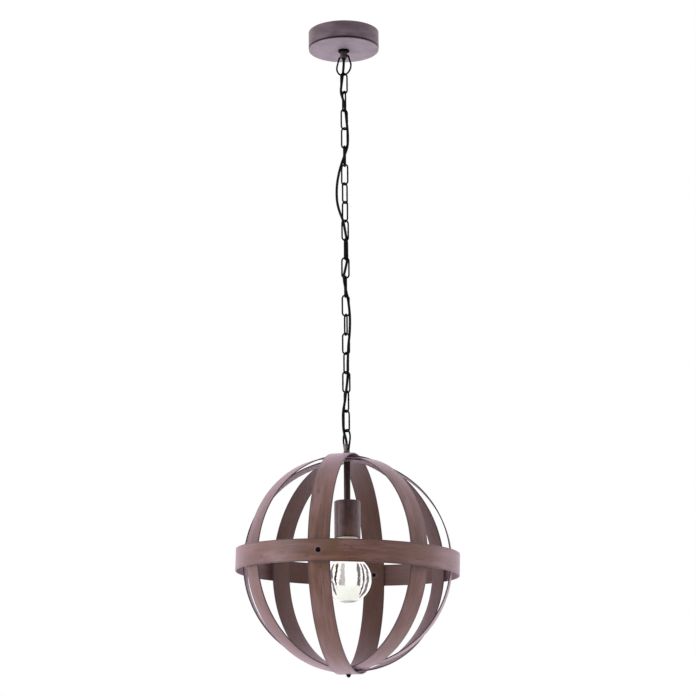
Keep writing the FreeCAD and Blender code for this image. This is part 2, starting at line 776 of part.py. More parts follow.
def pivot_drill(name, radius, reach):
    """A drill along the local Y axis, through both sides of a ring."""
    turn = Rotation(Vector(1, 0, 0), QUARTER_TURN)
    drill = cylinder(f"{name}_drill", radius, reach * 2, None, turn)
    bind(drill, "Placement.Base.y", reach)
    return drill


def hoops():
    for place, (name, direction) in enumerate(HOOPS):
        outer = hoop_radius(place)
        strip = strip_ring(name, outer)
        strip.Placement = Placement(Vector(), Rotation(Vector(0, 1, 0), QUARTER_TURN))
        reach = d.strip_thickness + d.cut_overrun * 2
        top = cylinder(f"{name}_neck_hole", d.neck_diameter / 2 + d.running_gap, reach,
                       outer - d.strip_thickness - d.cut_overrun)
        low = cylinder(f"{name}_bolt_hole", d.bolt_diameter / 2 + d.running_gap, reach,
                       -outer - d.cut_overrun)
        tools = [top, low]
        if place == OUTERMOST:
            tools.append(pivot_drill(name, d.rivet_diameter / 2 + d.running_gap,
                                     d.hoop_radius + d.cut_overrun))
        piece = cut(name, strip, fuse(f"{name}_holes", tools))
        piece.Placement = Placement(Vector(), Rotation(Vector(0, 0, 1), direction.value))
        lift(piece, cage_centre)
        node(piece, name)


def pole_washers():
    """The spacers between the hoops, and under the innermost one, at both poles."""
    half = d.hoop_washer_diameter / 2
    neck_bore = d.neck_diameter / 2 + d.running_gap
    bolt_bore = d.bolt_diameter / 2 + d.running_gap
    top = []
    bottom = []
    for place in range(INNERMOST):
        lower = hoop_radius(place + 1)
        upper = hoop_radius(place) - d.strip_thickness
        near = lower + d.seat_gap
        far = upper - sagitta(upper, half) - d.seat_gap
        top.append(ring(f"washer_top_{place + 1}", half, neck_bore, near, far))
        bottom.append(ring(f"washer_bottom_{place + 1}", half, bolt_bore, -far, -near))
    low, high = stem_washer_faces()
    top.append(ring("stem_washer", half, neck_bore, low, high))
    for name, washers in (("hoop_washers_top", top), ("hoop_washers_bottom", bottom)):
        washers = group(name, washers)
        lift(washers, cage_centre)
        node(washers, name)


def equator_band():
    strip = strip_ring("band", band_radius)
    hole = d.rivet_diameter / 2 + d.running_gap / 2
    band = cut("equator_band", strip, pivot_drill("band", hole, band_radius + d.cut_overrun))
    azimuth = Rotation(Vector(0, 0, 1), d.hoop_outer_angle.value)
    lean = Rotation(Vector(0, 1, 0), d.band_tilt_angle.value)
    band.Placement = Placement(Vector(), azimuth * lean)
    lift(band, cage_centre)
    node(band, "equator_band")


def on_pivot(piece, front):
    """Turns a piece made along +Z outwards along the band's axis, at the front or the back."""
    lean = QUARTER_TURN if front else -QUARTER_TURN
    turn = Rotation(Vector(0, 0, 1), d.hoop_outer_angle.value) * Rotation(Vector(1, 0, 0), lean)
    piece.Placement = Placement(Vector(), turn)
    lift(piece, cage_centre)


def band_pivots():
    """Rivet and spacer at each end of the band's axis."""
    shank = d.rivet_diameter / 2
    foot = d.rivet_foot / 2
    hoop_inside = d.hoop_radius - d.strip_thickness
    foot_high = hoop_inside - sagitta(hoop_inside, foot) - d.seat_gap
    foot_low = foot_high - d.rivet_foot_height
    spacer_half = d.band_spacer_diameter / 2
    band_inside = band_radius - d.strip_thickness
    spacer_low = d.hoop_radius + d.seat_gap
    spacer_high = band_inside - sagitta(band_inside, spacer_half) - d.seat_gap
    head_low = band_radius + d.seat_gap
    head_high = head_low + d.rivet_head_height
    rivets = []
    spacers = []
    for side, front in (("front", True), ("back", False)):
        rivet = turned(f"band_rivet_{side}", [
            (0, foot_low),
            (foot, foot_low),
            (foot, foot_high),
            (shank, foot_high),
            (shank, head_low),
            (d.rivet_head / 2, head_low),
            (d.rivet_head / 2, head_low + d.rivet_head_height / 2),
            (d.rivet_head / 4, head_high),
            (0, head_high),
        ])
        on_pivot(rivet, front)
        rivets.append(rivet)
        spacer = ring(f"band_spacer_{side}", spacer_half, shank + d.running_gap, spacer_low, spacer_high)
        on_pivot(spacer, front)
        spacers.append(spacer)
    node(group("band_rivets", rivets), "band_rivets")
    node(group("band_spacers", spacers), "band_spacers")


def stem_parts():
    """The tube inside the cage, and the nut that holds the lampholder's cover on it."""
    node(ring("stem_tube", d.stem_diameter / 2, d.stem_bore / 2, stem_low, stem_top), "stem_tube")
    thread = d.stem_diameter / 2 + d.seat_gap
    nut_low = cover_top - d.cover_wall - d.seat_gap - d.cover_nut_height
    node(nut("cover_nut", d.cover_nut_flats, d.cover_nut_height, thread, nut_low), "cover_nut")


def lampholder_cover():
    outer = d.cover_diameter / 2
    inner = outer - d.cover_wall
    hole = d.stem_diameter / 2 + d.running_gap
    body = turned("lampholder_cover", [
        (hole, cover_top - d.cover_wall),
        (inner, cover_top - d.cover_wall),
        (inner, cover_under),
        (outer, cover_under),
        (outer, cover_top),
        (hole, cover_top),
    ])
    round_edges(body, "cover_edge", d.cover_edge_radius, circle_at(outer, cover_top))
    round_edges(body, "cover_inner_edge", d.cover_edge_radius - d.cover_wall,
                circle_at(inner, cover_top - d.cover_wall))
    node(body, "lampholder_cover")


def lampholder_body():
    """Ceramic body with the mouth that takes the screw shell."""
    outer = d.holder_diameter / 2
    mouth = d.holder_bore / 2
    shoulder = holder_top - d.holder_neck_height
    hole = d.holder_wire_hole / 2
    body = turned("lampholder_body", [
        (mouth, holder_under),
        (outer, holder_under),
        (outer, shoulder),
        (d.holder_neck_diameter / 2, holder_top),
        (hole, holder_top),
        (hole, holder_ceiling),
        (mouth, holder_ceiling),
    ])
    node(body, "lampholder_body")


def lampholder_metal():
    top = holder_ceiling - d.seat_gap
    outer = d.shell_diameter / 2
    lip = d.holder_bore / 2 - d.seat_gap
    shell = turned("screw_shell", [
        (outer - d.shell_wall, top - d.shell_length),
        (outer, top - d.shell_length),
        (outer, top - d.shell_wall),
        (lip, top - d.shell_wall),
        (lip, top),
        (outer - d.shell_wall, top),
    ])
    node(shell, "screw_shell")
    length = d.shell_diameter - d.shell_wall * 6
    strap = box("contact_strap", length, d.contact_width, d.contact_thickness, top - d.contact_thickness)
    tongue = cylinder("contact_tongue", d.contact_width / 4, d.contact_rise,
                      top - d.contact_thickness - d.contact_rise)
    node(fuse("centre_contact", [strap, tongue]), "centre_contact")


def shoulder_radius(globe, neck, rise):
    """Radius of the hollow curve that leads from a globe into a neck whose lower end lies this high."""
    return (rise * rise - globe * globe + neck * neck) / ((globe - neck) * 2)


def bulb_outline(name, globe, neck, shoulder, rise):
    """A solid of the bulb's shape: globe, hollow shoulder and straight neck, with its middle at the globe."""
    body = doc.addObject("PartDesign::Body", name)
    sketch = new_sketch(body, f"{name}_profile", "XZ_Plane")
    up = Vector(0, 0, 1)
    across = neck.value + shoulder.value
    high = math.sqrt((globe.value + shoulder.value) ** 2 - across ** 2)
    share = globe.value / (globe.value + shoulder.value)
    meet = Vector(across * share, high * share, 0)
    top = rise.value
    turn = math.atan2(meet.y, meet.x)
    sketch.addGeometry([
        Part.ArcOfCircle(Part.Circle(Vector(), up, globe.value), -math.pi / 2, turn),
        Part.ArcOfCircle(Part.Circle(Vector(across, high, 0), up, shoulder.value), math.pi, math.pi + turn),
        Part.LineSegment(Vector(neck.value, high, 0), Vector(neck.value, top, 0)),
        Part.LineSegment(Vector(neck.value, top, 0), Vector(0, top, 0)),
        Part.LineSegment(Vector(0, top, 0), Vector(0, -globe.value, 0)),
    ], False)
    sketch.addConstraint(Sketcher.Constraint("Tangent", 0, 2, 1, 2))
    sketch.addConstraint(Sketcher.Constraint("Tangent", 1, 1, 2, 1))
    sketch.addConstraint(Sketcher.Constraint("Coincident", 2, 2, 3, 1))
    sketch.addConstraint(Sketcher.Constraint("Coincident", 3, 2, 4, 1))
    sketch.addConstraint(Sketcher.Constraint("Coincident", 4, 2, 0, 1))
    sketch.addConstraint(Sketcher.Constraint("Vertical", 2))
    sketch.addConstraint(Sketcher.Constraint("Horizontal", 3))
    sketch.addConstraint(Sketcher.Constraint("Coincident", 0, 3, -1, 1))
    sketch.addConstraint(Sketcher.Constraint("PointOnObject", 4, 1, -2))
    sketch.addConstraint(Sketcher.Constraint("PointOnObject", 4, 2, -2))
    for kind, ends, size in (
        ("Radius", (0,), globe),
        ("Radius", (1,), shoulder),
        ("DistanceX", (-1, 1, 2, 2), neck),
        ("DistanceY", (-1, 1, 2, 2), rise),
    ):
        number = sketch.addConstraint(Sketcher.Constraint(kind, *ends, size.value))
        sketch.setExpression(f"Constraints[{number}]", size.text)
    turn_feature = body.newObject("PartDesign::Revolution", f"{name}_turn")
    turn_feature.Profile = sketch
    turn_feature.ReferenceAxis = (sketch, ["V_Axis"])
    turn_feature.Angle = FULL_TURN
    body.Tip = turn_feature
    return body


def bulb():
    """The lamp: globe of glass, screw cap, insulator and end contact, with its mount inside."""
    rise = bulb_insulator_low - d.bulb_cap_wall - d.seat_gap - globe_centre
    wall = d.bulb_wall
    neck_low = bulb_cap_low - d.bulb_neck_length - globe_centre
    shoulder = shoulder_radius(d.bulb_radius, d.bulb_neck_radius, neck_low)
    solid = bulb_outline("bulb_outside", d.bulb_radius, d.bulb_neck_radius, shoulder, rise)
    hollow = bulb_outline("bulb_inside", d.bulb_radius - wall, d.bulb_neck_radius - wall,
                          shoulder + wall, rise - wall)
    glass = cut("bulb_glass", solid, hollow)
    lift(glass, globe_centre)
    node(glass, "bulb_glass")

    outer = d.bulb_cap_diameter / 2
    inner = outer - d.bulb_cap_wall
    contact = d.bulb_contact_diameter / 2
    insulator = d.bulb_insulator_diameter / 2
    cap = turned("bulb_cap", [
        (inner, bulb_cap_low),
        (outer, bulb_cap_low),
        (outer, bulb_insulator_low),
        (insulator, bulb_insulator_low),
        (insulator, bulb_insulator_low - d.bulb_cap_wall),
        (inner, bulb_insulator_low - d.bulb_cap_wall),
    ])
    node(cap, "bulb_cap")
    seat = bulb_insulator_low + d.seat_gap
    node(turned("bulb_insulator", [
        (0, seat),
        (insulator, seat),
        (contact + d.bulb_cap_wall, bulb_contact_low),
        (0, bulb_contact_low),
    ]), "bulb_insulator")
    node(turned("bulb_contact", [
        (0, bulb_contact_low + d.seat_gap),
        (contact, bulb_contact_low + d.seat_gap),
        (contact / 2, bulb_top),
        (0, bulb_top),
    ]), "bulb_contact")

    mount_top = globe_centre + rise - wall - d.seat_gap
    mount_low = mount_top - d.bulb_stem_length
    node(turned("bulb_stem", [
        (0, mount_low),
        (d.bulb_stem_radius / 2, mount_low),
        (d.bulb_stem_radius / 2, mount_low + d.bulb_stem_radius * 2),
        (d.bulb_stem_radius, mount_top),
        (0, mount_top),
    ]), "bulb_stem")
    filaments(mount_low)


def rod_between(name, start, end, diameter):
    """A straight rod between two places, each (x, z) in the plane of a filament."""
    run_x = end[0].value - start[0].value
    run_z = end[1].value - start[1].value
    lean = math.degrees(math.atan2(run_x, run_z))
    rod = cylinder(name, diameter / 2, as_size(math.hypot(run_x, run_z)))
    rod.Placement = Placement(Vector(start[0].value, 0, start[1].value), Rotation(Vector(0, 1, 0), lean))
    return rod


def filaments(mount_low):
    """Four filament rods round the stem, and the wires that carry them."""
    count = 4
    near = d.bulb_stem_radius / 2 + d.lead_wire
    top = mount_low + d.bulb_stem_radius * 2
    low = top - d.filament_length
    lead_height = low - d.filament_wire
    lead_end = (d.filament_spread, lead_height)
    rods = []
    wires = []
    for i in range(count):
        turn = Rotation(Vector(0, 0, 1), FULL_TURN / count * i)
        rod = rod_between(f"filament_{i + 1}", (d.filament_spread, low), (near, top), d.filament_wire)
        wire = rod_between(f"lead_{i + 1}", (NONE, lead_height), lead_end, d.lead_wire)
        for piece in (rod, wire):
            piece.Placement = Placement(Vector(), turn) * piece.Placement
        rods.append(rod)
        wires.append(wire)
    post_low = lead_height - d.lead_wire / 2
    post = cylinder("filament_post", d.lead_wire / 2, mount_low - post_low, post_low)
    node(group("bulb_filaments", rods), "bulb_filaments")
    node(fuse("bulb_wires", wires + [post]), "bulb_wires")


def bottom_fastener():
    """Bolt from inside the cage, and the dome nut under it."""
    inner = hoop_radius(INNERMOST) - d.strip_thickness
    seat = -inner + sagitta(inner, corner_radius(d.bolt_head_flats)) + d.seat_gap
    nut_top = -d.hoop_radius - d.seat_gap
    tip = nut_top - d.cap_nut_base
    head = prism("bolt_head", d.bolt_head_flats, d.bolt_head_height, seat)
    shank = cylinder("bolt_shank", d.bolt_diameter / 2, seat - tip, tip)
    bolt = fuse("bottom_bolt", [head, shank])
    lift(bolt, cage_centre)
    node(bolt, "bottom_bolt")
    base = prism("cap_nut_base", d.cap_nut_flats, d.cap_nut_base, nut_top - d.cap_nut_base)
    dome = doc.addObject("Part::Sphere", "cap_nut_dome")
    bind(dome, "Radius", d.cap_nut_dome / 2)
    dome.Angle2 = 0
    lift(dome, nut_top - d.cap_nut_base)
    bore_low = tip - d.seat_gap
    bore_length = nut_top + d.cut_overrun - bore_low
    bore = cylinder("cap_nut_bore", d.bolt_diameter / 2 + d.seat_gap, bore_length, bore_low)
    cap = cut("bottom_cap_nut", fuse("cap_nut_blank", [base, dome]), bore)
    lift(cap, cage_centre)
    node(cap, "bottom_cap_nut")


def terminal_block():
    """Three-way block on the bracket's lowered middle, with the earth screw on the nipple's other side."""
    low = -d.bracket_drop + d.seat_gap
    block = box("block_blank", d.block_width, d.block_length, d.block_height, low)
    bind(block, "Placement.Base.x", d.block_offset - d.block_width / 2)
    node(block, "terminal_block")
    top = -d.bracket_drop + d.earth_screw_head_height + d.seat_gap
    shank = d.earth_screw_diameter / 2
    seat = -d.bracket_drop + d.seat_gap
    screw = turned("earth_screw", [
        (0, seat - d.earth_screw_length),
        (shank, seat - d.earth_screw_length),
        (shank, seat),
        (d.earth_screw_head / 2, seat),
        (d.earth_screw_head / 2, top),
        (0, top),
    ])
    bind(screw, "Placement.Base.x", d.earth_screw_place)
    node(screw, "earth_screw")


def canopy_cores():
    """Three cores that leave the nipple's top and bend over to the terminal block."""
    low = as_size(CORD_ROUTE[0][2]).value
    turn_height = nipple_top() + d.core_rise - d.core_bend
    middle = round((CORE_COUNT - 1) / 2)
    cores = []
    for i in range(CORE_COUNT):
        across = d.core_spacing.value * (i - middle)
        bend = d.core_bend.value
        height = turn_height.value
        corner = Vector(bend - bend * math.sqrt(0.5), across, height + bend * math.sqrt(0.5))
        bend_start = Vector(0, across, height)
        bend_end = Vector(bend, across, height + bend)
        block_face = Vector(d.block_offset.value - d.block_width.value / 2, across, height + bend)
        path = Part.Wire([
            Part.LineSegment(Vector(0, across, low), bend_start).toShape(),
            Part.Arc(bend_start, corner, bend_end).toShape(),
            Part.LineSegment(bend_end, block_face).toShape(),
        ])
        cores.append(tube_along(path, d.core_diameter.value))
    obj = doc.addObject("Part::Feature", "canopy_cores")
    obj.Shape = Part.makeCompound(cores)
    node(obj, "canopy_cores")


def nipple_top():
    return -d.bracket_drop + d.nipple_rise


def tube_along(path, diameter):
    """A round solid along a path whose edges meet tangentially."""
    start = path.OrderedEdges[0]
    ahead = start.tangentAt(start.FirstParameter)
    section = Part.Wire(Part.makeCircle(diameter / 2, path.OrderedVertexes[0].Point, ahead))
    return path.makePipeShell([section], True, False)


def supply_cord():
    """The cord: straight runs joined by tangent arcs, each as large as its two runs allow."""
    points = [Vector(*place) for place in CORD_ROUTE]
    edges = []
    radii = []
    here = points[0]
    for before, corner, after in zip(points, points[1:], points[2:]):
        back = before - corner
        ahead = after - corner
        reach = ARC_REACH_SHARE * min(back.Length, ahead.Length)
        half_turn = (math.pi - back.getAngle(ahead)) / 2
        radius = reach / math.tan(half_turn)
        radii.append(radius)
        start = corner + back.normalize() * reach
        end = corner + ahead.normalize() * reach
        inward = (back + ahead).normalize()
        crown = corner + inward * (radius / math.cos(half_turn) - radius)
        edges.append(Part.LineSegment(here, start).toShape())
        edges.append(Part.Arc(start, crown, end).toShape())
        here = end
    edges.append(Part.LineSegment(here, points[-1]).toShape())
    path = Part.Wire(edges)
    diameter = d.cord_diameter.value
    obj = doc.addObject("Part::Feature", "supply_cord")
    obj.Shape = tube_along(path, diameter)
    expected = math.pi * diameter ** 2 / 4 * path.Length
    print("cord length", round(path.Length, 1), "least arc radius", round(min(radii), 1))
    print("cord volume over section times length", round(obj.Shape.Volume / expected, 5))
    node(obj, "supply_cord")


def lamp_lead():
    """The cord's last stretch, through neck and stem to the lampholder, and its two cores there."""
    top = as_size(CORD_ROUTE[-1][2])
    sheath_end = cover_top - d.lead_end_drop
    core_length = sheath_end - holder_ceiling
    pieces = [cylinder("lead_sheath", d.cord_diameter / 2, top - sheath_end, sheath_end)]
    for place, side in (("left", -1), ("right", 1)):
        core = cylinder(f"lead_core_{place}", d.core_diameter / 2, core_length, holder_ceiling)
        bind(core, "Placement.Base.x", d.core_spacing / 2 * side)
        pieces.append(core)
    node(fuse("lamp_lead", pieces), "lamp_lead")


def check_and_write():
    """Stops on any object that failed, then writes each sub-part to its own file."""
    doc.recompute()
    for obj in doc.Objects:
        if "Invalid" in obj.State or "Error" in obj.State:
            raise RuntimeError(f"{obj.Label} failed: {obj.State}")
    os.makedirs("parts", exist_ok=True)
    for obj in nodes:
        shape = obj.Shape
        if shape.isNull() or not shape.isValid():
            raise RuntimeError(f"{obj.Label} has no valid shape")
        shape.exportStep(os.path.join("parts", f"{obj.Label}.step"))
    print(len(nodes), "nodes written")


canopy()
ceiling_bracket()
ceiling_nipple()
nipple_nuts()
canopy_nut()
bail_socket()
cord_bush()
terminal_block()
canopy_cores()
bail("ceiling_bail", d.ceiling_bail_angle, ceiling_pins, True)
chain()
bail("cage_bail", d.cage_bail_angle, cage_pins, False)
supply_cord()
hanger_tube()
top_washer()
hoops()
pole_washers()
equator_band()
band_pivots()
stem_parts()
lampholder_cover()
lampholder_body()
lampholder_metal()
lamp_lead()
bulb()
bottom_fastener()
check_and_write()
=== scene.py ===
import cmath
import math

import bmesh
import bpy
import numpy as np
from mathutils import Euler, Matrix, Vector


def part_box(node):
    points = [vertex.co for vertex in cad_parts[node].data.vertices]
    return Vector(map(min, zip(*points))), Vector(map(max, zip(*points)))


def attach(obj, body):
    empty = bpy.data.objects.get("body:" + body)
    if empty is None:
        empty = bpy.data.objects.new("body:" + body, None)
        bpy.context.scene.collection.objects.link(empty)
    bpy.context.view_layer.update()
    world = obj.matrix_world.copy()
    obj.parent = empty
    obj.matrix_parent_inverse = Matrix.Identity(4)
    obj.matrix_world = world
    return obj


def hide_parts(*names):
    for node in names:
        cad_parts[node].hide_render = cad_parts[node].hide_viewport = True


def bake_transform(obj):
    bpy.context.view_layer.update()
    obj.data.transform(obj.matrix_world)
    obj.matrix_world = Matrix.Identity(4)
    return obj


# Pendant light: a sphere cage of strip steel that hangs from a round canopy on a welded chain.
# Metres. The origin is the centre of the canopy's rim on the ceiling, +Z is up, -Y faces the viewer.

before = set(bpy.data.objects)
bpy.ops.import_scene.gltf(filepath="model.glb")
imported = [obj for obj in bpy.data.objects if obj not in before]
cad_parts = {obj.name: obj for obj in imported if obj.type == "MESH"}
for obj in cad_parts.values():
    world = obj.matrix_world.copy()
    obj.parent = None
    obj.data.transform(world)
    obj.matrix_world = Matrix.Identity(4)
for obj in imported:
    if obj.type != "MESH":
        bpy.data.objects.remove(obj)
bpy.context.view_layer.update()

# Directions of the chain links' planes and of the bails, in degrees
LINK_TURNS = [27, -66, 30, -36, 78, -30, 50, -45, 27, -78, 0, -78, 16, -70, 19, -52, 12, -54, 42]
BAIL_TURNS = {"ceiling_bail": -35, "cage_bail": -68}
CHAIN = [f"link_{i + 1:02d}" for i in range(len(LINK_TURNS))]
HANGING = ["root", "ceiling_bail", *CHAIN, "cage_bail", "cage"]
LINK_WIRE = 0.003
LINK_WIDTH = 0.0154
WELD_LENGTH = 0.0026
WELD_SWELL = 0.14
# Where the weld sits along the leg, on one link and on the next
WELD_SHARES = (0.42, 0.58)
BAIL_WIRE = 0.0032
BAIL_HEIGHT = 0.0356
BAIL_LOOP_RADIUS = 0.0156
BAIL_SHOULDER = 0.0074
BAIL_CORNER_RADIUS = 0.003
BAIL_PIN_REACH = 0.0044
PIN_HOLE = 0.0017

# Strips of the cage: node, body, direction, lean of the ring's own axis, all in degrees
OUTER_TURN = -14.5
BAND_LEAN = 1.8
UPRIGHT = 90
STRIPS = [
    ("hoop_outer", "cage", OUTER_TURN, UPRIGHT),
    ("hoop_second", "hoop_second", -59.6, UPRIGHT),
    ("hoop_third", "hoop_third", 40.9, UPRIGHT),
    ("hoop_inner", "hoop_inner", 83.8, UPRIGHT),
    ("equator_band", "band", OUTER_TURN, BAND_LEAN),
]
STRIP_WIDTH = 0.038
STRIP_THICKNESS = 0.002
STRIP_EDGE_RADIUS = 0.0006
STRIP_UNEVENNESS = 0.0004
STRIP_STEPS = 192
BAND_GAP = 0.0014
NECK_HOLE = 0.0041
BOLT_HOLE = 0.0026
RIVET_HOLE = 0.0021

CORD_DIAMETER = 0.0046
# Route of the supply cord from the upper stem to the tube on the cage
CORD_ROUTE = [
    (0, 0, -0.044), (0, 0, -0.058), (-0.001, 0.0035, -0.069), (-0.0024, 0.0076, -0.081),
    (-0.0045, 0.0055, -0.097), (-0.0064, 0.0018, -0.114), (-0.0005, 0.0004, -0.131),
    (0.0026, 0.0069, -0.149), (0.004, 0.0075, -0.166), (0.006, 0.0075, -0.184),
    (0.0065, 0.004, -0.201), (0.0054, 0.0022, -0.218), (-0.001, -0.001, -0.236),
    (-0.0065, -0.0035, -0.253), (-0.011, -0.003, -0.27), (-0.014, -0.002, -0.288),
    (-0.0148, -0.0015, -0.305), (-0.014, -0.003, -0.322), (-0.01, -0.005, -0.34),
    (-0.0034, -0.008, -0.357), (0, 0, -0.374), (0.0032, 0.0075, -0.3915),
    (0.0031, 0.006, -0.409), (0.0034, 0.0066, -0.4265), (0.0001, -0.0006, -0.444),
    (-0.0037, -0.0076, -0.461), (-0.0008, -0.0006, -0.478), (0.0039, 0.0064, -0.496),
    (0.006, 0.0068, -0.513), (0.0074, 0.0068, -0.531), (0.0072, 0.0066, -0.548),
    (0.0062, 0.0068, -0.565), (0.004, 0.0065, -0.583), (0.0034, 0.0058, -0.6),
    (0.0025, 0.0053, -0.617), (0.0029, 0.0062, -0.634), (0.0014, -0.001, -0.652),
    (-0.0006, -0.0083, -0.6695), (-0.003, -0.0032, -0.687), (-0.0063, 0.0013, -0.703),
    (-0.0062, 0.0015, -0.7195), (-0.0057, 0.0016, -0.7365), (-0.0014, 0.0004, -0.7505),
    (0, 0, -0.762), (0, 0, -0.772),
]
# Heights inside the two bails, the top link and the bottom link where one stretch of cord meets the next
UPPER_BAIL_SEAM = -0.073
TOP_LINK_SEAM = -0.101
BOTTOM_LINK_SEAM = -0.7145
LOWER_BAIL_SEAM = -0.7435
CORD_STEPS = 12
CORD_SIDES = 20
CORE_DIAMETER = 0.0018
CORE_SPACING = 0.0021

# Gap between faces that nearly touch, and how far apart two numbers may be and still be the same
SEAT_GAP = 0.00005
SAME_LENGTH = 1e-6
# Corners sharper than this stay sharp, in degrees
CREASE = 32
# Roundings of edges, from the tightest to the broadest
TIGHT = 0.0002
FINE = 0.0003
SOFT = 0.0004
BLUNT = 0.0005
MILD = 0.0006
ROUND = 0.0008
DOMED = 0.0009
BROAD = 0.001
FULL = 0.0012
# Bores of the nipple and of what is screwed on it
NIPPLE_BORE = 0.0032
NIPPLE_NUT_BORE = 0.00505
# Threads: height of a turn, and rows of points in a turn
NIPPLE_PITCH = 0.001
NIPPLE_ROWS = 8
LAMP_PITCH = 0.00363
LAMP_ROWS = 10
# A nut's bevel: how far it reaches inside the flats, and how steeply it falls outwards
BEVEL_SHARE = 0.96
BEVEL_SLOPE = 0.58
SIXTH = math.pi / 3
HEXAGON_SIDES = 72
HOLE_SIDES = 32
# A screw's slot, and the height of the bar that cuts it
SLOT_WIDTH = 0.0008
SLOT_BAR_HEIGHT = 0.002
# The lamp's glass
BULB_RADIUS = 0.0408
BULB_NECK = 0.0124
BULB_WALL = 0.0008
BULB_NECK_LENGTH = 0.0105

# Colours of the finishes are 0 to 255, as they show on screen
STRIP_BROWNS = (94, 62, 44), (122, 85, 66)
STRIP_MAUVE = (124, 92, 89)
STRIP_SHADE = (84, 56, 42)
STRIP_TAN = (100, 71, 48)
STRIP_SCAR = (50, 30, 28)
# Painted shade: the inner side of each strip is darker, for the shade inside the cage
STRIP_INSIDE_SHADE = (82, 53, 34)
STRIP_BORDER = (50, 32, 32)
# Darker along the strips' very edges
STRIP_EDGE_DARK = (60, 46, 48)
RIVET_HALO = (112, 96, 106)
CANOPY_SIDE = (96, 78, 86), (120, 102, 112)
# Painted light: the canopy's underside is paler, for light from below
CANOPY_BELOW_LIT = (144, 128, 142), (164, 146, 160)
CANOPY_GRAIN = (82, 62, 66)
# Painted shade: a dark line in the groove above the canopy's rim
CANOPY_GROOVE_SHADE = (30, 18, 24)
COVER_BROWNS = (68, 43, 35), (98, 70, 60)
COVER_STROKE = (40, 22, 20)
# Painted shadow along the cover's lower edge and round its top, under the stem
COVER_LIP_SHADOW = (22, 12, 12)
COVER_TOP_SHADOW = (26, 16, 16)
HANGER_TUBE = (102, 88, 86), (128, 114, 112)
HANGER_FOOT = (50, 40, 42), (68, 56, 60)
LAMP_PLAIN = (236, 238, 232), (250, 248, 244)
# Painted reflections in the lamp's glass: grey and brown strokes for the cage's strips
LAMP_GREY_REFLECTION = (108, 100, 112)
LAMP_BROWN_REFLECTION = (62, 34, 28)
LAMP_POLE = (172, 178, 174)
LAMP_NECK = (176, 177, 180)
MAUVE_GLOSS = {
    "Specular_Tint": (1, 0.86, 0.97, 1),
    "Sheen_Tint": (0.98, 0.7, 0.96, 1),
    "Sheen_Roughness": 0.5,
}
METAL = {"rough": (0.25, 0.45), "grain": 400.0, "detail": 5, "edges": (0.3, 0.7), "relief": (0.00005, 0.3),
         "stretch": (1, 1, 8), "Metallic": 1.0}
# Plain finishes by slot or piece: the darker and the lighter colour, and what differs from satin paint
PLAIN_FINISHES = {
    "zinc_steel": ((150, 152, 154), (190, 191, 192), METAL),
    "brass_metal": ((176, 140, 70), (206, 172, 98), METAL),
    "bulb_cap_metal": ((176, 178, 180), (208, 209, 210), METAL),
    "dark_iron": ((2, 1, 1), (10, 6, 7), {"rough": (0.6, 0.75), "Specular_IOR_Level": 0.08}),
    "stem_paint": ((52, 30, 28), (70, 44, 42), {}),
    "socket_paint": ((56, 40, 48), (76, 58, 68), {}),
    "black_plastic": ((4, 4, 4), (12, 12, 12), {"Specular_IOR_Level": 0.2}),
    "pale_plastic": ((214, 212, 200), (230, 228, 220), {}),
    "brown_core": ((88, 52, 30), (120, 72, 40), {"grain": 800.0}),
    "blue_core": ((40, 70, 140), (60, 96, 170), {"grain": 800.0}),
    "green_core": ((60, 120, 50), (170, 180, 60), {"grain": 300.0}),
    "cord_sheath": ((3, 2, 2), (10, 9, 9), {
        "rough": (0.5, 0.65), "grain": 900.0, "detail": 4, "edges": None, "relief": (0.00005, 0.4),
        "Specular_IOR_Level": 0.15}),
    "ceramic": ((250, 236, 198), (255, 246, 216), {
        "rough": (0.15, 0.3), "grain": 180.0, "detail": 4, "edges": None, "relief": None,
        "Specular_IOR_Level": 0.8, "Coat_Weight": 1.0, "Coat_Roughness": 0.1}),
    "filament_coat": ((226, 178, 88), (244, 204, 120), {
        "rough": (0.5, 0.7), "grain": 1500.0, "detail": 3, "edges": None, "relief": None}),
}
# CAD nodes that keep their own mesh, and the finishes that they get
DRESSED = {
    "ceiling_bracket": "zinc_steel",
    "bulb_wires": "zinc_steel",
    "centre_contact": "brass_metal",
    "bulb_filaments": "filament_coat",
}
# Materials by slot, and a few by the piece that alone wears them
LOOKS = {}

# The camera stands in front of the light and below it, and looks up
CAMERA_PLACE = (0.00345, -3.7, -1.41675)
CAMERA_PITCH = 12.617
CAMERA_ROLL = -0.457
CAMERA_FOCUS_PIXELS = 2150.1
CAMERA_REACH = 50
PICTURE_PIXELS = 696
SENSOR_WIDTH = 36
# Lamps beside the light: place, size and power
SIDE_LAMPS = {
    "left": ((-3.0, -1.2, -0.7), (2.0, 2.0), 36),
    "right": ((2.6, 0.9, -0.4), (0.8, 1.8), 5),
}
# The middle of the studio's dim part, in front of the object, and how bright it and the floor's side are
FRONT = (0, -0.95, -0.3)
FRONT_BRIGHTNESS = 0.2
BELOW_BRIGHTNESS = 0.75
FLOOR_REACH = 2.5
FLOOR_HEIGHT = -2.3


def middle(node):
    low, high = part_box(node)
    return (low + high) / 2


def round_size(node):
    """A round node's outer radius about the light's axis, its lowest and its highest height."""
    low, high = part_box(node)
    return high.x, low.z, high.z


def ring_radius(node):
    low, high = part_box(node)
    return (high.z - low.z) / 2


def pin_height(node):
    """Height of a bail's pins, at the upper bail's top and at the lower bail's foot."""
    low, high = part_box(node)
    return high.z - BAIL_WIRE / 2 if node == "ceiling_bail" else low.z + BAIL_WIRE / 2


CAGE_CENTRE = Vector((0, 0, middle("hoop_outer").z))
BAND_RADIUS = ring_radius("hoop_outer") + BAND_GAP + STRIP_THICKNESS


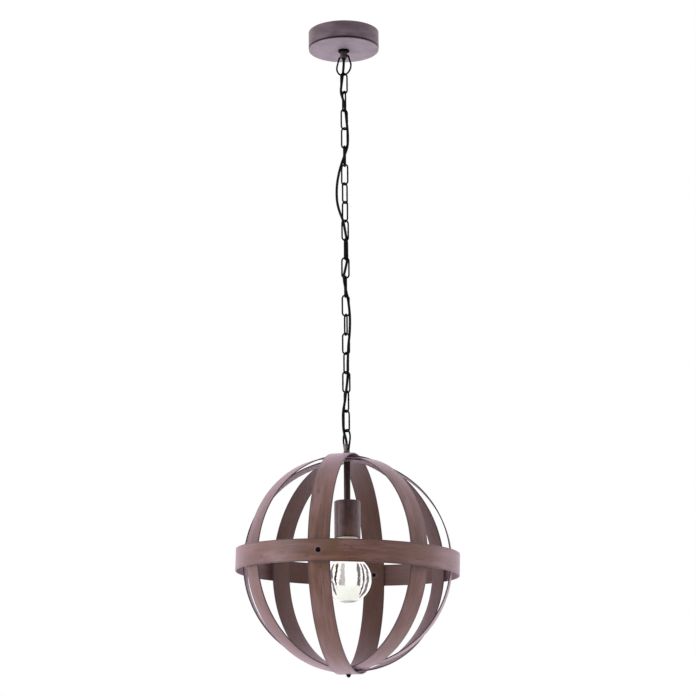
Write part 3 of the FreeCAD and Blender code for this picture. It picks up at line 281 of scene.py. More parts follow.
class Wiring:
    """Puts nodes in a tree and joins them, one call for each node."""

    def __init__(self, tree):
        self.tree = tree

    def node(self, kind, inputs=None, **settings):
        made = self.tree.nodes.new(kind)
        for name, setting in settings.items():
            setattr(made, name, setting)
        for name, value in (inputs or {}).items():
            self.join(value, made.inputs[name])
        return made

    def join(self, value, socket):
        if isinstance(value, bpy.types.NodeSocket):
            self.tree.links.new(value, socket)
        else:
            socket.default_value = value

    def sum(self, operation, *values, clamp=False):
        made = self.node("ShaderNodeMath", dict(enumerate(values)), operation=operation, use_clamp=clamp)
        return made.outputs[0]

    def product(self, first, *others):
        for other in others:
            first = self.sum("MULTIPLY", first, other)
        return first

    def vectors(self, operation, *values):
        """What a vector operation gives, a number where it measures."""
        made = self.node("ShaderNodeVectorMath", dict(enumerate(values)), operation=operation)
        return made.outputs["Value" if operation in ("LENGTH", "DOT_PRODUCT") else "Vector"]

    def band(self, value, low, high):
        """0 at low, 1 at high, smooth between."""
        ranged = {"Value": value, "From Min": low, "From Max": high}
        return self.node("ShaderNodeMapRange", ranged, interpolation_type="SMOOTHSTEP").outputs["Result"]


class Finish(Wiring):
    """A material with one shader, and the patterns that feed it."""

    # Sockets of a Mix node that hold its share, its two colours and what it gives
    SHARE, FIRST, SECOND, MIXED = 0, 6, 7, 2

    def __init__(self, name, **values):
        self.material = bpy.data.materials.new(name)
        self.material.use_nodes = True
        super().__init__(self.material.node_tree)
        self.shader = self.tree.nodes["Principled BSDF"]
        for socket, value in values.items():
            self.shader.inputs[socket.replace("_", " ")].default_value = value
        self.places = self.node("ShaderNodeTexCoord").outputs["Object"]

    def mapped(self, scale=(1, 1, 1), centre=(0, 0, 0), turn=(0, 0, 0)):
        """The piece's own coordinates, moved to a centre, turned back and then scaled."""
        inputs = {"Vector": self.places, "Location": centre, "Rotation": turn}
        moved = self.node("ShaderNodeMapping", inputs, vector_type="TEXTURE")
        return self.vectors("MULTIPLY", moved.outputs["Vector"], scale)

    def noise(self, vector, scale=1.0, detail=4.0, roughness=0.6, distortion=0.0):
        return self.node("ShaderNodeTexNoise", {
            "Vector": vector,
            "Scale": scale,
            "Detail": detail,
            "Roughness": roughness,
            "Distortion": distortion,
        }).outputs["Fac"]

    def mix(self, share, first, second):
        inputs = {self.SHARE: share, self.FIRST: first, self.SECOND: second}
        return self.node("ShaderNodeMix", inputs, data_type="RGBA").outputs[self.MIXED]

    def shade(self, share, dark, light):
        return self.mix(share, rgb(*dark), rgb(*light))

    def over(self, colour, *layers):
        """Lays colours on a colour: a pattern, where it starts and is full, its colour and its strength."""
        for pattern, start, full, tint, *strength in layers:
            share = self.product(self.band(pattern, start, full), *strength)
            colour = self.mix(share, colour, rgb(*tint))
        return colour

    def height(self, vector=None):
        return self.node("ShaderNodeSeparateXYZ", {"Vector": vector or self.mapped()}).outputs["Z"]

    def ended(self, colour, pattern, rough, relief=None, depth=0.0, strength=1.0):
        """Joins colour, roughness and relief to the shader, and gives the material."""
        self.join(colour, self.shader.inputs["Base Color"])
        smooth, coarse = rough
        ranged = self.node("ShaderNodeMapRange", {"Value": pattern, "To Min": smooth, "To Max": coarse})
        self.join(ranged.outputs["Result"], self.shader.inputs["Roughness"])
        if relief:
            bump = self.node("ShaderNodeBump", {"Height": relief, "Distance": depth, "Strength": strength})
            self.join(bump.outputs["Normal"], self.shader.inputs["Normal"])
        return self.material


def rgb(red, green, blue):
    """A colour as it shows on screen, 0 to 255, in the linear values that a shader takes."""
    def linear(share):
        return share / 12.92 if share <= 0.04045 else ((share + 0.055) / 1.055) ** 2.4
    return (linear(red / 255), linear(green / 255), linear(blue / 255), 1)


def strip_finish(name, turn, lean, radius):
    """Weathered brown steel: streaks that run along the strip, mauve patches, dark scars, darker edges, and
    painted shade on the inner side.
    """
    finish = Finish(name, Specular_IOR_Level=0.45, Coat_Weight=0.05, Coat_Roughness=0.3, Sheen_Weight=0.56,
                    **MAUVE_GLOSS)
    own = finish.mapped(centre=CAGE_CENTRE, turn=(0, math.radians(lean), math.radians(turn)))

    def flattened(*scale):
        return finish.vectors("MULTIPLY", own, scale)

    fine = finish.noise(flattened(11, 11, 150), detail=7, distortion=0.6)
    cloudy = finish.noise(flattened(13, 13, 62), detail=5, distortion=0.1)
    broad = finish.noise(flattened(10, 10, 20), detail=3)
    scarred = finish.noise(flattened(30, 30, 260), roughness=0.62, distortion=0.5)
    away = finish.vectors("LENGTH", flattened(1, 1, 0))
    across = finish.sum("ABSOLUTE", finish.height(own))
    edge = STRIP_WIDTH / 2
    layers = [
        (cloudy, 0.48, 0.68, STRIP_MAUVE),
        (cloudy, 0.44, 0.3, STRIP_SHADE),
        (broad, 0.5, 0.7, STRIP_TAN),
        (scarred, 0.63, 0.69, STRIP_SCAR),
        # painted shade: darker on the strip's inner side, inside the cage
        (away, radius - STRIP_THICKNESS * 0.3, radius - STRIP_THICKNESS * 0.7, STRIP_INSIDE_SHADE, 0.6),
    ]
    if turn == OUTER_TURN:
        beside = finish.vectors("LENGTH", flattened(1, 0, 1))
        layers.append((beside, 0.0085, 0.0055, RIVET_HALO, 0.6))
    layers.append((across, edge - 0.0026, edge - 0.0012, STRIP_BORDER, 0.7))
    # darker at the strip's very edges
    layers.append((across, edge - 0.0006, edge - 0.0001, STRIP_EDGE_DARK))
    colour = finish.over(finish.shade(finish.band(fine, 0.3, 0.72), *STRIP_BROWNS), *layers)
    relief = finish.sum("SUBTRACT", finish.product(fine, 0.6), finish.band(scarred, 0.6, 0.72))
    return finish.ended(colour, fine, (0.3, 0.5), relief, 0.0004, 0.5)


def canopy_finish():
    """Satin mauve-brown paint, with painted light that makes it paler underneath, and painted shade as a
    dark line in the groove above the rim.
    """
    finish = Finish("canopy paint", Specular_IOR_Level=0.3, Sheen_Weight=0.05, **MAUVE_GLOSS)
    cloudy = finish.noise(finish.mapped((34, 34, 80)), detail=6)
    grain = finish.noise(finish.mapped((60, 60, 420)), detail=6, distortion=0.4)
    clouds = finish.band(cloudy, 0.32, 0.7)
    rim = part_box("canopy")[0].z
    height = finish.height()
    side = finish.over(finish.shade(clouds, *CANOPY_SIDE), (grain, 0.6, 0.76, CANOPY_GRAIN))
    # painted light: paler on the underside, for light from below
    lit_underside = finish.band(height, rim + 0.001, rim + 0.0004)
    colour = finish.mix(lit_underside, side, finish.shade(clouds, *CANOPY_BELOW_LIT))
    # painted shade: a dark line in the groove just above the rim
    groove_shade_top = finish.band(height, rim + 0.0052, rim + 0.0042)
    colour = finish.over(colour, (height, rim + 0.001, rim + 0.0016, CANOPY_GROOVE_SHADE, groove_shade_top))
    return finish.ended(colour, cloudy, (0.35, 0.52), grain, 0.0002, 0.4)


def cover_finish():
    """Dark brown paint, blotched, with strokes that run up and down, and painted shadow along its lower
    edge and round its top.
    """
    finish = Finish("cover paint", Coat_Weight=0.3, Coat_Roughness=0.3, Sheen_Weight=0.5, **MAUVE_GLOSS)
    strokes = finish.noise(finish.mapped((190, 190, 26)), detail=5, distortion=0.6)
    cloudy = finish.noise(finish.mapped((60, 60, 40)))
    height = finish.height()
    _, low, high = round_size("lampholder_cover")
    colour = finish.over(
        finish.shade(finish.band(cloudy, 0.32, 0.68), *COVER_BROWNS),
        (strokes, 0.54, 0.66, COVER_STROKE),
        # painted shadow: dark along the lower edge and round the top under the stem
        (height, low + 0.0024, low + 0.0016, COVER_LIP_SHADOW),
        (height, high - 0.0012, high - 0.0004, COVER_TOP_SHADOW),
    )
    return finish.ended(colour, cloudy, (0.34, 0.46), strokes, 0.0002, 0.35)


def hanger_finish():
    """Grey-brown paint, darker on the flange at the tube's foot."""
    finish = Finish("hanger paint")
    cloudy = finish.noise(finish.mapped(), 120.0, detail=6)
    clouds = finish.band(cloudy, 0.35, 0.7)
    flange_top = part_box("top_washer")[1].z + 0.003
    above = finish.band(finish.height(), flange_top, flange_top + 0.001)
    colour = finish.mix(above, finish.shade(clouds, *HANGER_FOOT), finish.shade(clouds, *HANGER_TUBE))
    return finish.ended(colour, cloudy, (0.35, 0.55), cloudy, 0.0001, 0.4)


def plain_finish(name, dark, light, rough=(0.35, 0.55), grain=120.0, detail=6, edges=(0.35, 0.7),
                 relief=(0.0001, 0.4), stretch=(1, 1, 1), **values):
    """Two colours in fine specks, which the roughness and the relief follow."""
    finish = Finish(name, **values)
    specks = finish.noise(finish.mapped(stretch), grain, detail)
    colour = finish.shade(finish.band(specks, *edges) if edges else specks, dark, light)
    return finish.ended(colour, specks, rough, *((specks, *relief) if relief else ()))


def lit_glass_finish():
    """Bright milky glass that glows with its own colour, plain below, with upright brown and grey strokes
    round its upper part that are painted reflections of the cage's strips.
    """
    finish = Finish("lamp glass", Transmission_Weight=0.12, IOR=1.45, Emission_Strength=0.46)
    own = finish.mapped(centre=(0, 0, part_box("bulb_glass")[0].z + BULB_RADIUS))
    x, y, z = finish.node("ShaderNodeSeparateXYZ", {"Vector": own}).outputs
    wander = finish.noise(own, 60.0, detail=3, distortion=0.3)
    flecks = finish.noise(own, 160.0, roughness=0.7)
    azimuth = finish.sum("ARCTAN2", x, finish.product(y, -1.0))
    azimuth = finish.sum("ADD", azimuth, finish.product(finish.sum("SUBTRACT", wander, 0.5), 0.3))
    phase = finish.product(finish.sum("ADD", azimuth, math.radians(30)), 5 / math.tau)

    def stroke(place, width):
        """A painted reflection: a line from pole to pole in each fifth of the globe, at a share of it."""
        share = finish.sum("FRACT", finish.sum("ADD", phase, 10.5 - place))
        off = finish.sum("ABSOLUTE", finish.sum("SUBTRACT", share, 0.5))
        return finish.band(off, width, width * 0.45)

    aside = finish.sum("ABSOLUTE", x)
    broken = finish.band(flecks, 0.28, 0.42)
    strength = finish.sum("ADD", finish.product(finish.band(aside, 0.01, 0.017), 0.45), 0.55)
    grey = finish.product(finish.sum("MAXIMUM", stroke(0.22, 0.11), stroke(0.82, 0.08)), strength)
    above = finish.sum("MAXIMUM", finish.band(z, -0.0152, -0.0138), finish.band(aside, 0.0185, 0.0205))
    upper = finish.product(above, finish.band(z, 0.026, 0.022))
    colour = finish.shade(above, *LAMP_PLAIN)
    # painted reflections of the strips, in grey and brown strokes
    for share, tint in ((grey, LAMP_GREY_REFLECTION), (stroke(0.0, 0.06), LAMP_BROWN_REFLECTION)):
        colour = finish.mix(finish.product(share, broken, upper), colour, rgb(*tint))
    colour = finish.over(colour, (z, -0.0372, -0.0386, LAMP_POLE), (z, 0.0264, 0.032, LAMP_NECK))
    finish.join(colour, finish.shader.inputs["Emission Color"])
    return finish.ended(colour, flecks, (0.03, 0.12))


def clear_glass_finish():
    finish = Finish("clear glass", Transmission_Weight=1.0, IOR=1.5)
    fine = finish.noise(finish.mapped(), 60.0, detail=2)
    return finish.ended((0.98, 0.99, 0.985, 1), fine, (0.0, 0.03))


def dress(node, material):
    """Gives a CAD node its finish."""
    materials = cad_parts[node].data.materials
    materials.clear()
    materials.append(material)


def new_object(name, data):
    made = bpy.data.objects.new(name, data)
    bpy.context.scene.collection.objects.link(made)
    return made


def as_mesh(source, name, place=Matrix()):
    """The result of an object's modifiers as a plain mesh object, with its place in its mesh."""
    depsgraph = bpy.context.evaluated_depsgraph_get()
    mesh = bpy.data.meshes.new_from_object(source.evaluated_get(depsgraph), depsgraph=depsgraph)
    mesh.transform(place)
    data = source.data
    bpy.data.objects.remove(source)
    if isinstance(data, bpy.types.Curve):
        bpy.data.curves.remove(data)
    mesh.name = name
    return new_object(name, mesh)


def from_bmesh(name, made, material=None):
    """An object from finished mesh data: faces outward, smooth but for its sharp corners."""
    bmesh.ops.recalc_face_normals(made, faces=made.faces)
    for face in made.faces:
        face.smooth = True
    for edge in made.edges:
        if edge.is_manifold and edge.calc_face_angle() > math.radians(CREASE):
            edge.smooth = False
    mesh = bpy.data.meshes.new(name)
    made.to_mesh(mesh)
    made.free()
    if material:
        mesh.materials.append(material)
    return new_object(name, mesh)


def finished(piece, body, slot, *replaced):
    """Says what a piece moves with and the CAD nodes that it stands for; its slot is not used."""
    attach(piece, body)
    if replaced:
        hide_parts(*replaced)
    return piece


def drill(radius, direction, near, far, centre=CAGE_CENTRE):
    """A round cutter along a direction from a centre."""
    made = bmesh.new()
    turn = Vector(direction).to_track_quat("Z", "Y").to_matrix().to_4x4()
    place = Matrix.Translation(centre + Vector(direction) * (near + far) / 2)
    bmesh.ops.create_cone(made, cap_ends=True, segments=HOLE_SIDES, radius1=radius, radius2=radius,
                          depth=far - near, matrix=place @ turn)
    return from_bmesh("drill", made)


def level(turn):
    """The level direction that a turn about Z gives to +Y."""
    angle = math.radians(turn)
    return Vector((-math.sin(angle), math.cos(angle), 0))


def pin_drill(bail, outer):
    """A cutter for the holes that a bail's two pins sit in."""
    across = level(BAIL_TURNS[bail] - 90)
    return drill(PIN_HOLE, across, -outer * 2, outer * 2, centre=Vector((0, 0, pin_height(bail))))


def slot_cutter(place, top, length):
    """A bar that cuts a screwdriver's slot into a head whose top is at a height."""
    made = bmesh.new()
    bmesh.ops.create_cube(made, size=1.0)
    bmesh.ops.scale(made, vec=(SLOT_WIDTH, length, SLOT_BAR_HEIGHT), verts=made.verts)
    bmesh.ops.translate(made, vec=Vector((place.x, place.y, top)), verts=made.verts)
    return from_bmesh("slot_cutter", made)


def bored(piece, cutters):
    """Cuts holes and takes the cutters away."""
    for cutter in cutters:
        modifier = piece.modifiers.new("hole", "BOOLEAN")
        modifier.operation = "DIFFERENCE"
        modifier.solver = "EXACT"
        modifier.object = cutter
    name = piece.name
    material = piece.data.materials[0]
    cut = as_mesh(piece, f"{name}_cut")
    made = bmesh.new()
    made.from_mesh(cut.data)
    for used in (*cutters, cut):
        bpy.data.objects.remove(used)
    return from_bmesh(name, made, material)


def eased(*corners, steps=5):
    """A closed outline of (radius, height, rounding) corners, each with its own rounding."""
    result = []
    for before, corner, after in zip(corners[-1:] + corners[:-1], corners, corners[1:] + corners[:1]):
        here = complex(*corner[:2])
        if len(corner) < 3:
            result.append(here)
            continue
        back = complex(*before[:2]) - here
        ahead = complex(*after[:2]) - here
        back /= abs(back)
        ahead /= abs(ahead)
        half = abs(cmath.phase(ahead / back)) / 2
        reach = corner[2] / math.tan(half)
        centre = here + (back + ahead) / abs(back + ahead) * corner[2] / math.sin(half)
        first = here + back * reach - centre
        last = here + ahead * reach - centre
        result += [centre + first * (last / first) ** (i / steps) for i in range(steps + 1)]
    return [(p.real, p.imag) for p in result]


def spun(name, outlines, material, sides=96, bend=None, centre=Vector()):
    """Closed outlines of (radius, height) points turned about the Z axis; bend moves single points."""
    made = bmesh.new()
    for outline in outlines:
        rings = []
        for radius, height in outline:
            if radius < SAME_LENGTH:
                rings.append([made.verts.new(centre + Vector((0, 0, height)))] * sides)
                continue
            ring = []
            for i in range(sides):
                angle = math.tau * i / sides
                r, z = bend(angle, radius, height) if bend else (radius, height)
                place = centre + Vector((r * math.cos(angle), r * math.sin(angle), z))
                ring.append(made.verts.new(place))
            rings.append(ring)
        for ring, following in zip(rings, rings[1:] + rings[:1]):
            for i in range(sides):
                j = (i + 1) % sides
                corners = list(dict.fromkeys((ring[i], ring[j], following[j], following[i])))
                if len(corners) > 2:
                    made.faces.new(corners)
    return from_bmesh(name, made, material)


def turned(name, outlines, body, slot, node, look=None, cutters=(), **shaping):
    """A turned piece that stands for a node, bored where it has cutters."""
    piece = spun(name, outlines, LOOKS[look or slot], **shaping)
    if cutters:
        piece = bored(piece, cutters)
    return finished(piece, body, slot, node)


def washer(inner, outer, low, high, ease=TIGHT):
    return eased((inner, low), (outer, low, ease), (outer, high, ease), (inner, high), steps=3)


def hexagon(flats, *centres):
    """Turns the widest rings of round blanks, each about a centre height, into six bevelled flats."""
    def bend(angle, radius, height):
        if radius < flats / math.sqrt(3) - SAME_LENGTH:
            return radius, height
        reach = flats / 2 / math.cos(angle % SIXTH - SIXTH / 2)
        fall = (reach - flats / 2 * BEVEL_SHARE) * BEVEL_SLOPE
        nearest = min(centres, key=lambda centre: abs(centre - height))
        return reach, height + (fall if height < nearest else -fall)
    return bend


def hexagon_rows(flats, low, high):
    """Rows of a hexagon's blank: bevel and corner below, corner and bevel above."""
    corner = flats / math.sqrt(3)
    bevel = flats / 2 * BEVEL_SHARE
    return [(bevel, low), (corner, low), (corner, high), (bevel, high)]


def nut_outline(flats, bore, low, high):
    return [(bore, low), *hexagon_rows(flats, low, high), (bore, high)]


def dome_rows(radius, base, rise, steps):
    """Rows of a dome from its edge up to just before its pole; a negative rise hangs it down."""
    return [(radius * math.cos(a), base + rise * math.sin(a))
            for a in np.linspace(0, math.pi / 2, steps)][:-1]


def threaded_outline(inner, outer, low, high, step, both=True):
    """Tube wall with rows close enough together to carry a thread."""
    rows = max(4, round((high - low) / step))
    heights = [low + (high - low) * i / rows for i in range(rows + 1)]
    outside = [(outer, z) for z in heights]
    inside = [(inner, z) for z in reversed(heights)] if both else [(inner, high), (inner, low)]
    return outside + inside


def thread(pitch, depth, low, high, from_radius=0.0):
    """Presses a screw thread into the rings of a tube's wall, fading out at its ends."""
    def bend(angle, radius, height):
        if radius < from_radius:
            return radius, height
        ends = min(1.0, (height - low) / pitch, (high - height) / pitch)
        wave = 0.5 - 0.5 * math.cos(math.tau * height / pitch - angle)
        return radius - depth * wave * max(ends, 0.0), height
    return bend


class Shape(Wiring):
    """A Geometry Nodes tree that ends in Realize Instances and Set Material."""

    def __init__(self, name, inputs, takes_geometry=False):
        super().__init__(bpy.data.node_groups.new(name, "GeometryNodeTree"))
        if takes_geometry:
            self.socket("Geometry", "Geometry")
        self.sockets = {label: self.socket(label, kind) for label, kind in inputs.items()}
        self.sockets["Material"] = self.socket("Material", "Material")
        self.socket("Geometry", "Geometry", "OUTPUT")
        self.given = self.node("NodeGroupInput").outputs

    def socket(self, label, kind, side="INPUT"):
        made = self.tree.interface.new_socket(label, in_out=side, socket_type=f"NodeSocket{kind}")
        return made.identifier

    def step(self, kind, settings=None, **inputs):
        """Adds a geometry node and gives what it makes; an underscore in an input's name is a space."""
        inputs = {name.replace("_", " "): value for name, value in inputs.items()}
        return self.node(f"GeometryNode{kind}", inputs, **(settings or {})).outputs[0]

    def end(self, geometry):
        real = self.step("RealizeInstances", Geometry=geometry)
        clad = self.step("SetMaterial", Geometry=real, Material=self.given["Material"])
        self.node("NodeGroupOutput", {"Geometry": clad})

    def grow(self, source, values):
        """Puts the tree on an object, with its inputs set by their identifiers."""
        modifier = source.modifiers.new("shape", "NODES")
        modifier.node_group = self.tree
        for label, value in values.items():
            modifier[self.sockets[label]] = value


def wire_shape():
    """Round wire along a curve, a little thicker at its weld."""
    inputs = {"Wire Radius": "Float", "Sides": "Int", "Weld Place": "Float", "Weld Length": "Float",
              "Weld Swell": "Float"}
    shape = Shape("bent_wire", inputs, takes_geometry=True)
    given = shape.given
    along = shape.node("GeometryNodeSplineParameter").outputs["Length"]
    away = shape.sum("ABSOLUTE", shape.sum("SUBTRACT", along, given["Weld Place"]))
    near = shape.sum("SUBTRACT", 1.0, shape.sum("DIVIDE", away, given["Weld Length"]), clamp=True)
    swell = shape.product(shape.sum("SMOOTH_MIN", near, 0.6, 0.4), given["Weld Swell"])
    radius = shape.sum("ADD", 1.0, shape.sum("MAXIMUM", swell, 0.0))
    path = shape.step("SetCurveRadius", Curve=given["Geometry"], Radius=radius)
    section = shape.step("CurvePrimitiveCircle", Resolution=given["Sides"], Radius=given["Wire Radius"])
    swept = shape.step("CurveToMesh", Curve=path, Profile_Curve=section, Scale=radius, Fill_Caps=True)
    shape.end(shape.step("SetShadeSmooth", Geometry=swept))
    return shape


def strip_shape():
    """A closed ring of strip about its own Z axis, with rounded and slightly uneven edges."""
    inputs = {"Radius": "Float", "Width": "Float", "Thickness": "Float", "Edge Radius": "Float",
              "Steps": "Int", "Unevenness": "Float", "Seed": "Float"}
    shape = Shape("strip_ring", inputs)
    given = shape.given
    inset = shape.sum("DIVIDE", given["Thickness"], 2.0)
    path = shape.step("CurvePrimitiveCircle", Resolution=given["Steps"],
                      Radius=shape.sum("SUBTRACT", given["Radius"], inset))
    section = shape.step("CurvePrimitiveQuadrilateral", Width=given["Thickness"], Height=given["Width"])
    rounded = shape.step("FilletCurve", {"mode": "POLY"}, Curve=section, Count=4,
                         Radius=given["Edge Radius"])
    swept = shape.step("CurveToMesh", Curve=path, Profile_Curve=rounded)
    wander = shape.node("ShaderNodeTexNoise", {
        "Vector": shape.step("InputPosition"), "W": given["Seed"], "Scale": 22.0, "Detail": 2.0,
    }, noise_dimensions="4D")
    centred = shape.vectors("SUBTRACT", wander.outputs["Color"], (0.5, 0.5, 0.5))
    pushed = shape.node("ShaderNodeVectorMath", {0: centred, "Scale": given["Unevenness"]},
                        operation="SCALE")
    moved = shape.step("SetPosition", Geometry=swept, Offset=pushed.outputs[0])
    shape.end(shape.step("SetShadeSmooth", Geometry=moved))
    return shape


def pair_shape():
    """Two copies of a piece along +Z, one at each end of a level line through the centre."""
    shape = Shape("pivot_pair", {"Direction": "Float"}, takes_geometry=True)
    turn = shape.sum("ADD", shape.given["Direction"], shape.product(shape.step("InputIndex"), math.pi))
    across = shape.product(shape.sum("SINE", turn), -1.0)
    outwards = shape.node("ShaderNodeCombineXYZ", {"X": across, "Y": shape.sum("COSINE", turn)}).outputs[0]
    aligned = shape.node("FunctionNodeAlignRotationToVector", {"Vector": outwards}, axis="Z")
    shape.end(shape.step("InstanceOnPoints", Points=shape.step("Points", Count=2),
                         Instance=shape.given["Geometry"], Rotation=aligned.outputs[0]))
    return shape


def grid_shape():
    """Copies of a small piece on a level grid of points."""
    inputs = {"Length": "Float", "Width": "Float", "Along": "Int", "Across": "Int"}
    shape = Shape("screw_grid", inputs, takes_geometry=True)
    given = shape.given
    grid = shape.step("MeshGrid", Size_X=given["Length"], Size_Y=given["Width"],
                      Vertices_X=given["Along"], Vertices_Y=given["Across"])
    shape.end(shape.step("InstanceOnPoints", Points=grid, Instance=given["Geometry"]))
    return shape


def strips():
    """The four hoops and the band, with the holes for the pole fasteners and the rivets."""
    shape = strip_shape()
    pivot = level(OUTER_TURN)
    for seed, (node, body, turn, lean) in enumerate(STRIPS):
        source = new_object(f"{node}_source", bpy.data.meshes.new(f"{node}_source"))
        radius = ring_radius(node) if lean == UPRIGHT else BAND_RADIUS
        shape.grow(source, {
            "Radius": radius,
            "Width": STRIP_WIDTH,
            "Thickness": STRIP_THICKNESS,
            "Edge Radius": STRIP_EDGE_RADIUS,
            "Steps": STRIP_STEPS,
            "Unevenness": STRIP_UNEVENNESS,
            "Seed": float(seed),
            "Material": strip_finish(f"{node} finish", turn, lean, radius),
        })
        lying = Euler((0, math.radians(lean), math.radians(turn))).to_matrix().to_4x4()
        piece = as_mesh(source, f"{node}_strip", Matrix.Translation(CAGE_CENTRE) @ lying)
        holes = []
        if lean == UPRIGHT:
            holes += [(NECK_HOLE, (0, 0, 1)), (BOLT_HOLE, (0, 0, -1))]
        if turn == OUTER_TURN:
            holes += [(RIVET_HOLE, pivot), (RIVET_HOLE, -pivot)]
        cutters = [drill(hole, direction, radius - STRIP_THICKNESS * 2, radius + STRIP_THICKNESS)
                   for hole, direction in holes]
        finished(bored(piece, cutters), body, "strip_metal", node)


def arc_points(centre, radius, start, end, steps):
    """Points on an arc in the XZ plane, in degrees from +X towards +Z, its first point left out."""
    angles = np.radians(np.linspace(start, end, steps + 1))[1:]
    x, z = centre
    return [Vector((x + radius * math.cos(a), 0, z + radius * math.sin(a))) for a in angles]


def path_curve(name, points, kind="POLY", closed=False):
    """A curve object through points, or with NURBS a smooth one that they steer."""
    curve = bpy.data.curves.new(name, "CURVE")
    curve.dimensions = "3D"
    spline = curve.splines.new(kind)
    spline.points.add(len(points) - 1)
    for point, place in zip(spline.points, points):
        point.co = (*place, 1)
    spline.use_cyclic_u = closed
    if kind == "NURBS":
        spline.order_u = 3
        spline.use_endpoint_u = True
    return new_object(name, curve)


def link_path(length, width):
    """The middle line of a link's wire, hung by its top, with the points of one leg close together."""
    bend = width / 2
    leg = length - width
    close = 16
    apart = 4
    around = 20
    rise = [Vector((bend, 0, -bend - leg + leg * i / close)) for i in range(close + 1)]
    over = arc_points((0, -bend), bend, 0, 180, around)
    fall = [Vector((-bend, 0, -bend - leg * i / apart)) for i in range(1, apart + 1)]
    under = arc_points((0, -bend - leg), bend, 180, 360, around)[:-1]
    return rise + over + fall + under


def chain(shape):
    """Welded links, each turned against the next, their welds not all at the same place."""
    for number, (node, turn) in enumerate(zip(CHAIN, LINK_TURNS)):
        low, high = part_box(node)
        length = high.z - low.z - LINK_WIRE
        width = LINK_WIDTH - LINK_WIRE
        source = path_curve(f"{node}_source", link_path(length, width), closed=True)
        shape.grow(source, {
            "Wire Radius": LINK_WIRE / 2,
            "Sides": 20,
            "Weld Place": (length - width) * WELD_SHARES[number % 2],
            "Weld Length": WELD_LENGTH,
            "Weld Swell": WELD_SWELL,
            "Material": LOOKS["chain_metal"],
        })
        flip = 180 if number % 3 == 1 else 0
        place = Matrix.Translation((0, 0, high.z - LINK_WIRE / 2))
        place = place @ Matrix.Rotation(math.radians(turn + flip), 4, "Z")
        finished(as_mesh(source, f"{node}_welded", place), node, "chain_metal", node)


def bail_path():
    """Pin, corner, leg, round end and back, from the pins down."""
    centre = BAIL_HEIGHT - BAIL_LOOP_RADIUS
    fall = centre - BAIL_CORNER_RADIUS
    gap = BAIL_LOOP_RADIUS - BAIL_CORNER_RADIUS
    lean = math.atan2(-BAIL_SHOULDER, fall) - math.acos(gap / math.hypot(BAIL_SHOULDER, fall))
    start = math.degrees(math.atan2(math.cos(lean), -math.sin(lean)))
    corner_steps = 10
    end_steps = 30
    half = [Vector((BAIL_PIN_REACH, 0, 0)), Vector((BAIL_SHOULDER, 0, 0))]
    half += arc_points((BAIL_SHOULDER, -BAIL_CORNER_RADIUS), BAIL_CORNER_RADIUS, 90, start, corner_steps)
    half += arc_points((0, -centre), BAIL_LOOP_RADIUS, start + 1, -90, end_steps)
    other = [Vector((-p.x, 0, p.z)) for p in reversed(half[:-1])]
    return half + other


def bails(shape):
    """The upper bail hangs by its pins, and the lower one stands on them. Neither has a weld."""
    for node, flip in (("ceiling_bail", 0), ("cage_bail", 180)):
        source = path_curve(f"{node}_source", bail_path())
        shape.grow(source, {
            "Wire Radius": BAIL_WIRE / 2,
            "Sides": 24,
            "Weld Place": -1.0,
            "Weld Length": WELD_LENGTH,
            "Weld Swell": 0.0,
            "Material": LOOKS["dark_iron"],
        })
        place = Matrix.Translation((0, 0, pin_height(node)))
        place = place @ Matrix.Rotation(math.radians(BAIL_TURNS[node]), 4, "Z")
        place = place @ Matrix.Rotation(math.radians(flip), 4, "X")
        finished(as_mesh(source, f"{node}_wire", place), node, "dark_iron", node)


def cord_line():
    """The cord's smooth middle line, read from a spline on the route's points."""
    source = path_curve("cord_route", CORD_ROUTE, "NURBS")
    source.data.splines[0].resolution_u = CORD_STEPS
    read = as_mesh(source, "cord_line")
    line = [v.co.copy() for v in read.data.vertices]
    bpy.data.objects.remove(read)
    return line


def cord_seams():
    """Heights at which one stretch of the cord meets the next, in the middle of each body."""
    inner = [middle(node).z for node in CHAIN[1:-1]]
    return [UPPER_BAIL_SEAM, TOP_LINK_SEAM, *inner, BOTTOM_LINK_SEAM, LOWER_BAIL_SEAM]


def cut_line(line, heights):
    """The falling line in stretches, each starting with the point that ends the one above it."""
    stretches = []
    current = [line[0]]
    heights = list(heights)
    for above, below in zip(line, line[1:]):
        while heights and below.z <= heights[0]:
            share = (above.z - heights[0]) / (above.z - below.z)
            seam = above.lerp(below, share)
            current.append(seam)
            stretches.append(current)
            current = [seam]
            heights.pop(0)
        if (below - current[-1]).length > CORD_DIAMETER / 50:
            current.append(below)
    stretches.append(current)
    return stretches


def tangents(line):
    """Direction of a line at each of its points."""
    last = len(line) - 1
    return [(line[min(i + 1, last)] - line[max(i - 1, 0)]).normalized() for i in range(last + 1)]


def cord_tube(name, line, directions, material):
    """A closed tube along a falling line, with a UV map that runs round it and along it."""
    made = bmesh.new()
    rings = []
    for place, ahead in zip(line, directions):
        right = (Vector((1, 0, 0)) - ahead * ahead.x).normalized()
        back = ahead.cross(right)
        ring = []
        for i in range(CORD_SIDES):
            a = math.tau * i / CORD_SIDES
            out = (right * math.cos(a) + back * math.sin(a)) * CORD_DIAMETER / 2
            ring.append(made.verts.new(place + out))
        rings.append(ring)
    uv = made.loops.layers.uv.new("cord")
    travelled = 0.0
    for place, (upper, lower) in enumerate(zip(rings, rings[1:])):
        step = (line[place + 1] - line[place]).length
        for i in range(CORD_SIDES):
            j = (i + 1) % CORD_SIDES
            face = made.faces.new((upper[i], lower[i], lower[j], upper[j]))
            for loop, (around, extra) in zip(face.loops, ((i, 0), (i, step), (i + 1, step), (i + 1, 0))):
                loop[uv].uv = (around / CORD_SIDES, travelled + extra)
        travelled += step
    made.faces.new(rings[0])
    made.faces.new(list(reversed(rings[-1])))
    return from_bmesh(name, made, material), travelled


